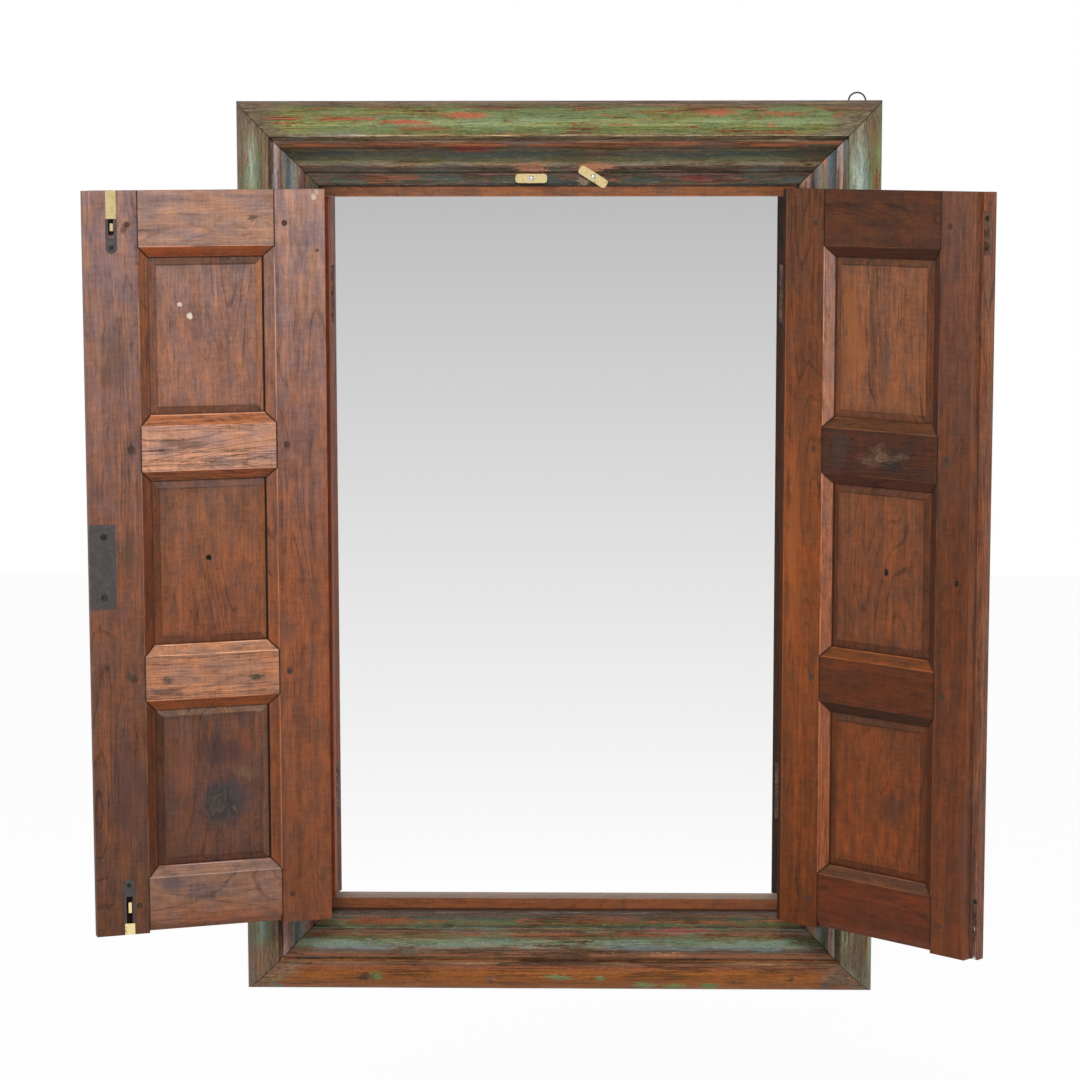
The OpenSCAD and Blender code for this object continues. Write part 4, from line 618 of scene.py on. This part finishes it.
def leaf_wood(node, wear):
    """One piece of a leaf: teak inside, worn green paint outside, dirt in the joints, and painted
    shade and highlights round the panels.
    """
    direction, tones, lit_and_shaded_chamfer_tints, veins = LEAF_WOOD[node]
    shift = LEAF_GRAIN_START + GRAIN_STEP * list(LEAF_WOOD).index(node)
    side = node.split("_")[0]
    r = recipe(node)

    def stained(tint):
        return tuple(part * stain for part, stain in zip(shade(*tint), wear.wood_stain))

    across, thick, up = leaf_places(r, side)
    upright = direction == "up"
    cross = across if upright else up
    along = up if upright else across
    high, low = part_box(node)[1].z * MM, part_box(node)[0].z * MM
    share = (up - low) / (high - low)
    leaf_middle = (HINGE_STILE + LEAF_WIDTH - LEAVES[side]["meeting"]) / 2
    if len(tones) == 1:
        tones = tones * 3
    # Colours from the bottom up, paler at the top on most left pieces: partly weathering, partly
    # painted sheen
    base = r.ramp(share, [(at, stained(tone)) for at, tone in zip((0.0, 0.5, 1.0), tones)])
    beside, above = panel_distance(side, across, up)
    rim = beside.or_more(above)
    chamfer = r.rise(rim, -0.2, 0.3) * r.rise(rim, CHAMFER + 0.3, CHAMFER - 0.3)
    inside = r.rise(thick, INSIDE_FROM, INSIDE_FROM + 1.5)
    # Chamfer tints: the wood's tone with painted light and shade, on rails darker for the chamfer
    # facing down and paler for the one facing up
    if lit_and_shaded_chamfer_tints:
        heights = (0.15, 0.5, 0.85) if upright else (0.45, 0.55)
        tint = r.ramp(share, [(at, stained(tone)) for at, tone in zip(heights, lit_and_shaded_chamfer_tints)])
        base = r.blend(chamfer * inside * 0.9, base, tint)
    ends = r.rise(above - beside, -0.5, 0.5)
    upper_end = r.rise(share, 0.45, 0.55)
    hinge_side = r.rise(across, leaf_middle + 5, leaf_middle - 5)
    # Each margin side gets its own colour: the wood's tone with painted light and shade for the way
    # it faces
    if node in LIT_AND_SHADED_MARGINS:
        head, low_end, hinge, meeting = (stained(tint) for tint in LIT_AND_SHADED_MARGINS[node])
        tint = r.blend(ends, r.blend(hinge_side, meeting, hinge),
                       r.blend(upper_end, low_end, head))
        base = r.blend(r.rise(rim, -FIELD_EDGE - 0.6, -FIELD_EDGE) * 0.85, base, tint)
    if node == "right_meeting_stile":
        ledge_grain = r.noise(r.point(across, thick, up / 60), 0.7, 3.0, 0.7)
        ledge = r.ramp(ledge_grain, [(0.36, stained((92, 62, 50))), (0.5, stained((150, 98, 76))),
                                     (0.62, stained((150, 112, 84)))])
        base = r.blend(r.rise(across, LEDGE_EDGE - 0.4, LEDGE_EDGE + 0.4) * 0.9, base, ledge)
        base = r.blend(r.near(across - LEDGE_EDGE, 0.7), base, stained((112, 66, 46)))
    if node == "right_hinge_stile":
        # The right leaf's hinge edge is darkened to three tenths: painted shade beside the jamb
        edge = r.rise(across, HINGE_EDGE - 0.2, HINGE_EDGE - 1.2)
        base = r.blend(edge, base, r.scaled(base, 0.3))
    colour, streak, fibre, ring, cloud, mottle = wood_tones(
        r, cross, thick, along + shift, base, wear.wood_contrast, veins)
    bare = colour
    for mark, tint, strength, soft in LEAF_MARKS.get(node, ()):
        wander = (fibre - 0.5) * 2 + (cloud + mottle - 1.0) * min(30.0, mark[2] * 2.0)
        marked = r.spot(across + wander, up + wander, mark, soft) * strength
        colour = r.blend(marked, colour, r.scaled(shade(*tint), 0.75 + streak * 0.5))
    for mark, tints in KNOTS.get(node, ()):
        colour = knot(r, colour, across, up, mark, tints)

    # Old dirt and painted shade round the panels, rubbed arrises with painted highlights, then dark
    # joints and mitres, and painted shade in the gaps at the chamfers' feet
    # Darker towards the panel edges under the chamfers: partly old dirt, partly painted shade in
    # the recess
    dirt_and_shade = r.rise(rim + (cloud - 0.5) * 50, -22.0, -2.0) * r.rise(rim, CHAMFER + 8, CHAMFER - 4)
    colour = r.blend(dirt_and_shade * inside * 0.5, colour, r.scaled(colour, 0.5))
    ragged = (cloud - 0.5) * 1.6
    # Light lines at the arrises and the chamfers' feet, strongest at the top: partly rubbed wood,
    # partly painted highlights
    lit_foot = r.near(rim - 0.5, 0.9) * (0.4 + ends * upper_end)
    arris = (r.near(rim - CHAMFER, 1.1) + lit_foot) * r.rise(streak, 0.4, 0.54)
    if side == "right":
        arris = (arris + r.near(across - (LEDGE_EDGE - 1), 0.8)
                 + r.near(across - HINGE_EDGE, 0.9) * inside)
    colour = r.blend(arris * inside * 0.6, colour, r.scaled(base, 1.9))
    butt = r.near(beside - CHAMFER + ragged * 0.2, 1.1) * r.rise(above, CHAMFER - 2, CHAMFER)
    mitre = r.near(beside - above + ragged * 0.3, 1.7) * chamfer
    foot = r.near(rim + 0.6, 1.9)
    margin = r.near(rim + (FIELD_EDGE - 0.4) + ragged * 0.6, 1.5)
    seam = (butt + mitre).or_less(1.0)
    colour = r.blend(seam * (0.1 + cloud * 1.3), colour, shade(34, 25, 20))
    # Dark lines at the chamfers' feet, strongest on the left leaf's hinge side and weakest at the
    # lit top: painted shade in the gaps
    gap = ((0.4 + hinge_side * (1.0 - ends) * (0.55 if side == "left" else 0.05))
           * (1.0 - ends * upper_end * 0.7))
    colour = r.blend(foot * gap, colour, shade(30, 21, 17))
    # A ragged dark line at the field's edge, stronger at the top: partly dirt, partly painted shade
    # under the rail
    dirt_and_shade_line = r.rise(cloud, 0.36, 0.56) * 0.45 + ends * upper_end * 0.4
    colour = r.blend(margin * dirt_and_shade_line, colour, r.scaled(base, 0.3))

    # Outside face, painted like the frame
    outside = r.rise(thick, 1.2, 0.4).or_more(
        r.rise(thick, PANEL_OUTSIDE + 0.6, PANEL_OUTSIDE) * r.rise(rim, 4.0, 3.0))
    grain = r.point(cross, thick, (along + shift) / 16)
    flake = r.noise(grain, 0.22, 4.0, 0.6) * 0.6 + cloud * 0.4 + fibre * 0.2
    green = r.blend(r.rise(streak, 0.35, 0.65), paint_tint("moss"), paint_tint("light_sage"))
    grubby = r.rise(cloud, 0.56, 0.4) * 0.5 + foot * 0.6 + r.rise(rim, -16.0, 2.0) * 0.2
    green = r.blend(grubby.or_less(0.9), green, paint_tint("dirt"))
    old = r.blend(r.rise(flake, 0.57, 0.66), r.scaled(green, 0.5 + fibre * 0.65), bare)
    colour = r.blend(outside, colour, old)

    roughness = 0.5 + (cloud - 0.5) * 0.25 + fibre * 0.1
    height = fibre * 0.7 + streak * 0.9 - ring * 0.5 - seam - cloud * 0.3
    return r.finish(colour, roughness, height, 0.0008, {"Specular IOR Level": 0.2})


# ----- plain wood -----

# Pieces of plain wood: grain direction and colour. The strips' colours carry painted light and
# shade: strip_top is made pale against the frame's shadow and strip_right nearly black as
# painted shadow.
PLAIN_WOOD = {
    "strip_top": ("across", (250, 176, 134)), "strip_bottom": ("across", (146, 92, 62)),
    "strip_left": ("up", (140, 66, 32)), "strip_right": ("up", (42, 30, 26)),
    "backing_board": ("up", (150, 118, 84)), "frame_pegs": ("up", (104, 74, 54)),
    "left_tenon_pegs": ("up", (84, 60, 50)), "right_tenon_pegs": ("up", (76, 58, 48)),
}


def plain_wood(node):
    """Bare wood with its grain along the piece."""
    direction, tint = PLAIN_WOOD[node]
    shift = PLAIN_GRAIN_START + GRAIN_STEP * list(PLAIN_WOOD).index(node)
    r = recipe(node)
    x, y, z = places(r)
    cross, along = (x, z) if direction == "up" else (z, x)
    colour, streak, fibre = wood_tones(r, cross, y, along + shift, shade(*tint), 0.8)[:3]
    # A dark band along the top strip's upper edge: painted shadow in the gap under the frame
    if node == "strip_top":
        colour = r.blend(r.rise(z, HALF_HEIGHT - 2.0, HALF_HEIGHT - 1.2) * 0.85, colour,
                         shade(30, 24, 20))
    if node == "strip_bottom":
        top = r.rise(z, -HALF_HEIGHT + 13.2, -HALF_HEIGHT + 13.8)
        colour = r.blend(top * 0.7, colour, shade(108, 96, 80))
    return r.finish(colour, 0.48 + fibre * 0.12, fibre * 0.6 + streak * 0.5, 0.0006,
                    {"Specular IOR Level": 0.2})


# ----- metal and glass -----

# Scale of a metal's film per millimetre, and how far out on its leaf a bolt's front begins
FILM_SCALE = 0.12
BOLT_FRONT = 24.0


def worn_metal(name, bright, dull, rough, cover):
    """Metal under a ragged film: the film takes the dull colour and the second roughness."""
    r = recipe(name)
    x, y, z = places(r)
    spot = r.point(x, y, z)
    film = r.noise(spot, FILM_SCALE, 5.0, 0.65)
    speck = r.noise(spot, FILM_SCALE * 5, 4.0, 0.7)
    covered = r.rise(film * 0.7 + speck * 0.3, cover, cover - 0.16)
    colour = r.blend(covered, bright, dull)
    colour = r.scaled(colour, 0.9 + speck * 0.2)
    roughness = rough[0] + covered * (rough[1] - rough[0]) + (speck - 0.5) * 0.12
    return r, colour, roughness, film * 0.5 + speck * 0.5


def plain_metal(name, bright, dull, rough, cover, lift, metallic):
    """A metal that is worn alike all over."""
    r, colour, roughness, height = worn_metal(name, bright, dull, rough, cover)
    return r.finish(colour, roughness, height, lift, {"Metallic": metallic})


def bolt_brass(bright, dull):
    """Brass in front, and painted shade, nearly black, where the bolt lies deep in its groove."""
    r, colour, roughness, height = worn_metal("bolt_brass", bright, dull, (0.26, 0.46), 0.5)
    thick = leaf_places(r, "left")[1]
    # Nearly black behind the front: painted shade in the groove
    groove_shade = r.rise(thick, BOLT_FRONT, BOLT_FRONT - 0.4)
    colour = r.blend(groove_shade, colour, shade(30, 26, 22))
    return r.finish(colour, roughness + groove_shade * 0.3, height, 0.00025, {"Metallic": 1.0})


def mirror_glass():
    """Silvered glass."""
    return recipe("mirror_glass").finish(shade(250, 250, 250), 0.01, fixed={"Metallic": 1.0})


# ----- settings a user would change -----

def setting(name, description, default, **more):
    """A number property."""
    return bpy.props.FloatProperty(name=name, description=description, default=default, **more)


def colour_setting(name, description, tint):
    """A colour property whose default is a display colour."""
    return bpy.props.FloatVectorProperty(name=name, description=description, subtype="COLOR",
                                         size=4, default=shade(*tint), min=0.0, max=1.0)


class WearSettings(bpy.types.PropertyGroup):
    paint_wear: setting("Paint wear", "More wood shows through the paint above 0", 0.0,
                        min=-0.3, max=0.3)
    wood_contrast: setting("Wood contrast", "Strength of the leaves' streaks and rings", 1.0,
                           min=0.0, max=2.0)
    wood_stain: colour_setting("Wood stain", "Darkens the leaves' teak; white leaves it bare",
                               (255, 255, 255))
    arris_round: setting("Arris rounding", "Width of the worn rounding on wooden edges", 0.0008,
                         min=0.0, max=0.002, unit="LENGTH")
    metal_round: setting("Metal rounding", "Width of the rounding on metal edges", 0.00025,
                         min=0.0, max=0.001, unit="LENGTH")


class PaintColours(bpy.types.PropertyGroup):
    __annotations__ = {
        name: colour_setting(name.replace("_", " ").capitalize(),
                             "A colour of the frame's old paint or bare wood", tint)
        for name, tint in PAINT_COLOURS.items()}


class MetalColours(bpy.types.PropertyGroup):
    brass: colour_setting("Brass", "Rubbed brass", (250, 226, 168))
    tarnish: colour_setting("Tarnish", "Tarnish on the brass", (176, 140, 86))
    iron: colour_setting("Iron", "Old iron where it is rubbed", (92, 87, 87))
    scale: colour_setting("Iron scale", "Dark scale on the iron", (82, 76, 76))
    steel: colour_setting("Steel", "Bright screw heads and the edge bolt", (206, 206, 204))


class StudioSettings(bpy.types.PropertyGroup):
    camera_place: bpy.props.FloatVectorProperty(
        name="Camera", description="Place of the camera", size=3, unit="LENGTH",
        default=(0.063362, -4.018275, 0.55379))
    camera_pitch: setting("Pitch", "Downward tilt of the view", math.radians(7.66817),
                          subtype="ANGLE")
    camera_yaw: setting("Yaw", "Turn of the view towards the left", math.radians(1.25861),
                        subtype="ANGLE")
    camera_roll: setting("Roll", "Roll of the view", math.radians(-0.07169), subtype="ANGLE")
    lens: setting("Lens", "Focal length on a 36 mm sensor, in millimetres", 103.816, min=10.0)
    front_power: setting("Front light", "Power of the soft light above the camera, in watts",
                         155.0, min=0.0)
    side_power: setting("Side lights", "Power of each tall light beside the object, in watts",
                        14.0, min=0.0)
    fill: setting("Fill", "Strength of the even light from all round", 0.22, min=0.0)


# ----- operators -----

# Metal of each fitting. Other screws are dark iron and other pieces iron.
METAL_OF = {
    "left_turn_button": "brass", "right_turn_button": "brass", "turn_button_washers": "brass",
    "top_bolt": "bolt", "bottom_bolt": "bolt", "turn_button_screws": "steel",
    "edge_bolt": "steel", "hinge_pins": "rusty", "edge_bolt_plate": "rusty", "keep_plate": "rusty",
    **{f"{height}_{side}_hinge_{part}_leaf": "rusty" for height in ("top", "bottom")
       for side in ("left", "right") for part in ("frame", "door")},
}

# How near points are welded, in metres, and the angle from which an edge is rounded
WELD_REACH = 0.00001
ROUNDED_FROM = math.radians(32.0)


def dress(node, material, width=None):
    """Give a node its one material and, unless width is None, weld it and round its arrises."""
    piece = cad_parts[node]
    piece.data.materials.clear()
    piece.data.materials.append(material)
    if width is None:
        return
    weld = piece.modifiers.new("Weld", "WELD")
    weld.merge_threshold = WELD_REACH
    if width:
        bevel = piece.modifiers.new("Round", "BEVEL")
        bevel.width = width
        bevel.segments = 2
        bevel.limit_method = "ANGLE"
        bevel.angle_limit = ROUNDED_FROM
        bevel.harden_normals = True
        bevel.use_clamp_overlap = True


class MIRROR_OT_painted_frame(bpy.types.Operator):
    """Paint the four moulded members and wear them down to the wood"""
    bl_idname = "mirror.painted_frame"
    bl_label = "Painted Frame"

    def execute(self, context):
        wear = context.scene.mirror_wear
        for node, member in MEMBERS.items():
            dress(node, painted_member(node, member, wear.paint_wear), wear.arris_round)
        return {"FINISHED"}


class MIRROR_OT_leaves(bpy.types.Operator):
    """Give each stile, rail and panel its own teak"""
    bl_idname = "mirror.leaves"
    bl_label = "Panelled Leaves"

    def execute(self, context):
        wear = context.scene.mirror_wear
        for node in LEAF_WOOD:
            dress(node, leaf_wood(node, wear), wear.arris_round)
        return {"FINISHED"}


class MIRROR_OT_plain_wood(bpy.types.Operator):
    """Finish the strips, the backing board and the pegs"""
    bl_idname = "mirror.plain_wood"
    bl_label = "Strips, Board and Pegs"

    def execute(self, context):
        for node in PLAIN_WOOD:
            dress(node, plain_wood(node), context.scene.mirror_wear.arris_round * 0.6)
        return {"FINISHED"}


class MIRROR_OT_glass(bpy.types.Operator):
    """Silver the glass"""
    bl_idname = "mirror.glass"
    bl_label = "Mirror Glass"

    def execute(self, context):
        dress("mirror_glass", mirror_glass())
        return {"FINISHED"}


class MIRROR_OT_fittings(bpy.types.Operator):
    """Finish the brass, iron and steel fittings"""
    bl_idname = "mirror.fittings"
    bl_label = "Fittings"

    def execute(self, context):
        colours = context.scene.mirror_metals
        brass, tarnish = tuple(colours.brass), tuple(colours.tarnish)
        iron, scale, steel = (tuple(c) for c in (colours.iron, colours.scale, colours.steel))
        metals = {
            "brass": plain_metal("brass", brass, tarnish, rough=(0.26, 0.46), cover=0.5,
                                 lift=0.00025, metallic=1.0),
            "bolt": bolt_brass(brass, tarnish),
            "rusty": plain_metal("rusty_iron", shade(126, 94, 78), shade(84, 60, 50),
                                 rough=(0.5, 0.7), cover=0.6, lift=0.0004, metallic=0.3),
            "iron": plain_metal("iron", iron, scale, rough=(0.42, 0.62), cover=0.62,
                                lift=0.0004, metallic=0.75),
            "screw": plain_metal("screw_iron", shade(76, 68, 64), shade(48, 42, 40),
                                 rough=(0.45, 0.65), cover=0.62, lift=0.0003, metallic=0.6),
            "steel": plain_metal("steel", steel, iron, rough=(0.2, 0.4), cover=0.46,
                                 lift=0.0001, metallic=1.0),
        }
        others = set(MEMBERS) | set(LEAF_WOOD) | set(PLAIN_WOOD) | {"mirror_glass"}
        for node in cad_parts:
            if node not in others:
                metal = metals[METAL_OF.get(node, "screw" if "screws" in node else "iron")]
                dress(node, metal, context.scene.mirror_wear.metal_round)
        return {"FINISHED"}


# The stage, in metres: where the lights aim, and the floor's height and half width
AIM = (0.0, -0.05, 0.0)
FLOOR_LEVEL = -1.35
FLOOR_REACH = 9.0

# Width of the camera's sensor, in millimetres
SENSOR_WIDTH = 36.0

# How much of the floor glows white to the camera, and how strongly
GLOW_SHARE = 0.8
GLOW_STRENGTH = 1.16

# The mirror's grey at the low and the high end of the directions it shows
MIRRORED_RISE = (-0.244, -0.026)
MIRRORED_GREY = (1.035, 0.532)


def softbox(name, place, width, height, power):
    """Rectangular light at a place, turned to the object."""
    light = bpy.data.lights.new(name, "AREA")
    light.shape = "RECTANGLE"
    light.size = width
    light.size_y = height
    light.energy = power
    lamp = bpy.data.objects.new(name, light)
    lamp.location = place
    lamp.rotation_mode = "QUATERNION"
    lamp.rotation_quaternion = (Vector(AIM) - Vector(place)).to_track_quat("-Z", "Y")
    bpy.context.scene.collection.objects.link(lamp)


def ray_kinds(r):
    """1 for the camera's rays, and 1 for a glossy surface's."""
    rays = r.node("ShaderNodeLightPath").socket.node.outputs
    return Wire(r, rays["Is Camera Ray"]), Wire(r, rays["Is Glossy Ray"])


class MIRROR_OT_stage(bpy.types.Operator):
    """Set up the camera, the lights, the floor and the white surroundings"""
    bl_idname = "mirror.stage"
    bl_label = "Stage"

    def execute(self, context):
        studio = context.scene.mirror_studio
        self.camera(studio)
        softbox("front_light", place=(-0.35, -3.6, 2.9), width=2.6, height=1.6,
                power=studio.front_power)
        for name, side in (("left", -1), ("right", 1)):
            softbox("side_light_" + name, place=(side * 3.2, -0.9, 0.4), width=0.9, height=2.6,
                    power=studio.side_power)
        self.floor()
        self.world(studio)
        context.scene.view_settings.view_transform = "Standard"
        return {"FINISHED"}

    def camera(self, studio):
        """Camera turned by yaw, then pitch, then rolled about its view."""
        turn = (Matrix.Rotation(studio.camera_yaw, 3, "Z")
                @ Matrix.Rotation(-studio.camera_pitch, 3, "X"))
        forward, right, up = turn.col[1], turn.col[0], turn.col[2]
        c, s = math.cos(studio.camera_roll), math.sin(studio.camera_roll)
        rolled_right = right * c + up * s
        rolled_up = up * c - right * s
        lens = bpy.data.cameras.new("camera")
        lens.lens = studio.lens
        lens.sensor_width = SENSOR_WIDTH
        camera = bpy.data.objects.new("camera", lens)
        basis = Matrix((rolled_right, rolled_up, -forward)).transposed()
        camera.matrix_world = Matrix.Translation(Vector(studio.camera_place)) @ basis.to_4x4()
        bpy.context.scene.collection.objects.link(camera)
        bpy.context.scene.camera = camera

    def floor(self):
        """Pale floor below the view, see-through to glossy rays."""
        mesh = bpy.data.meshes.new("floor")
        corners = [(x * FLOOR_REACH, y * FLOOR_REACH, FLOOR_LEVEL)
                   for x, y in ((-1, -1), (1, -1), (1, 1), (-1, 1))]
        mesh.from_pydata(corners, [], [(0, 1, 2, 3)])
        plane = bpy.data.objects.new("floor", mesh)
        bpy.context.scene.collection.objects.link(plane)
        r = recipe("floor")
        seen, glossy = ray_kinds(r)
        pale = r.node("ShaderNodeBsdfDiffuse", {}, {"Color": shade(236, 236, 234)})
        white = r.node("ShaderNodeEmission", {}, {"Color": (1, 1, 1, 1), "Strength": GLOW_STRENGTH})
        clear = r.node("ShaderNodeBsdfTransparent", {}, {})
        body = r.node("ShaderNodeMixShader", {}, {0: seen * GLOW_SHARE, 1: pale, 2: white})
        mixed = r.node("ShaderNodeMixShader", {}, {0: glossy, 1: body, 2: clear})
        r.node("ShaderNodeOutputMaterial", {}, {"Surface": mixed})
        plane.data.materials.append(r.owner)

    def world(self, studio):
        """White to the camera, an even fill, and to the mirror a grey that pales downwards."""
        world = bpy.data.worlds.new("studio")
        bpy.context.scene.world = world
        r = Recipe(world)
        seen, glossy = ray_kinds(r)
        way = r.node("ShaderNodeTexCoord", {}, {}, output="Generated")
        split = r.node("ShaderNodeSeparateXYZ", {}, {0: way}).socket.node
        rise = Wire(r, split.outputs[2])
        low, high = MIRRORED_RISE
        grey = [(place, (level,) * 3 + (1,)) for place, level in enumerate(MIRRORED_GREY)]
        reflected = r.ramp(r.node("ShaderNodeMapRange", {}, {0: rise, 1: low, 2: high}), grey)
        even = r.node("ShaderNodeBackground", {}, {0: (1, 1, 1, 1), 1: studio.fill})
        shown = r.node("ShaderNodeBackground", {}, {0: (1, 1, 1, 1), 1: 1.0})
        gloss = r.node("ShaderNodeBackground", {}, {0: reflected, 1: 1.0})
        lit = r.node("ShaderNodeMixShader", {}, {0: glossy, 1: even, 2: gloss})
        out = r.node("ShaderNodeMixShader", {}, {0: seen, 1: lit, 2: shown})
        r.node("ShaderNodeOutputWorld", {}, {"Surface": out})


SETTINGS = {"mirror_wear": WearSettings, "mirror_paint": PaintColours,
            "mirror_metals": MetalColours, "mirror_studio": StudioSettings}
STEPS = (MIRROR_OT_painted_frame, MIRROR_OT_leaves, MIRROR_OT_plain_wood, MIRROR_OT_glass,
         MIRROR_OT_fittings, MIRROR_OT_stage)


class MIRROR_PT_sidebar(bpy.types.Panel):
    bl_idname = "MIRROR_PT_sidebar"
    bl_label = "Shutter Mirror"
    bl_space_type = "VIEW_3D"
    bl_region_type = "UI"
    bl_category = "Shutter Mirror"

    def draw(self, context):
        for step in STEPS:
            self.layout.operator(step.bl_idname)
        for name, group in SETTINGS.items():
            for entry in group.__annotations__:
                self.layout.prop(getattr(context.scene, name), entry)


CLASSES = (*SETTINGS.values(), *STEPS, MIRROR_PT_sidebar)


def register():
    for cls in CLASSES:
        bpy.utils.register_class(cls)
    for name, group in SETTINGS.items():
        setattr(bpy.types.Scene, name, bpy.props.PointerProperty(type=group))


def unregister():
    for name in SETTINGS:
        delattr(bpy.types.Scene, name)
    for cls in reversed(CLASSES):
        bpy.utils.unregister_class(cls)


def main():
    register()
    for step in STEPS:
        group, name = step.bl_idname.split(".")
        getattr(getattr(bpy.ops, group), name)()


if __name__ == "__main__":
    main()
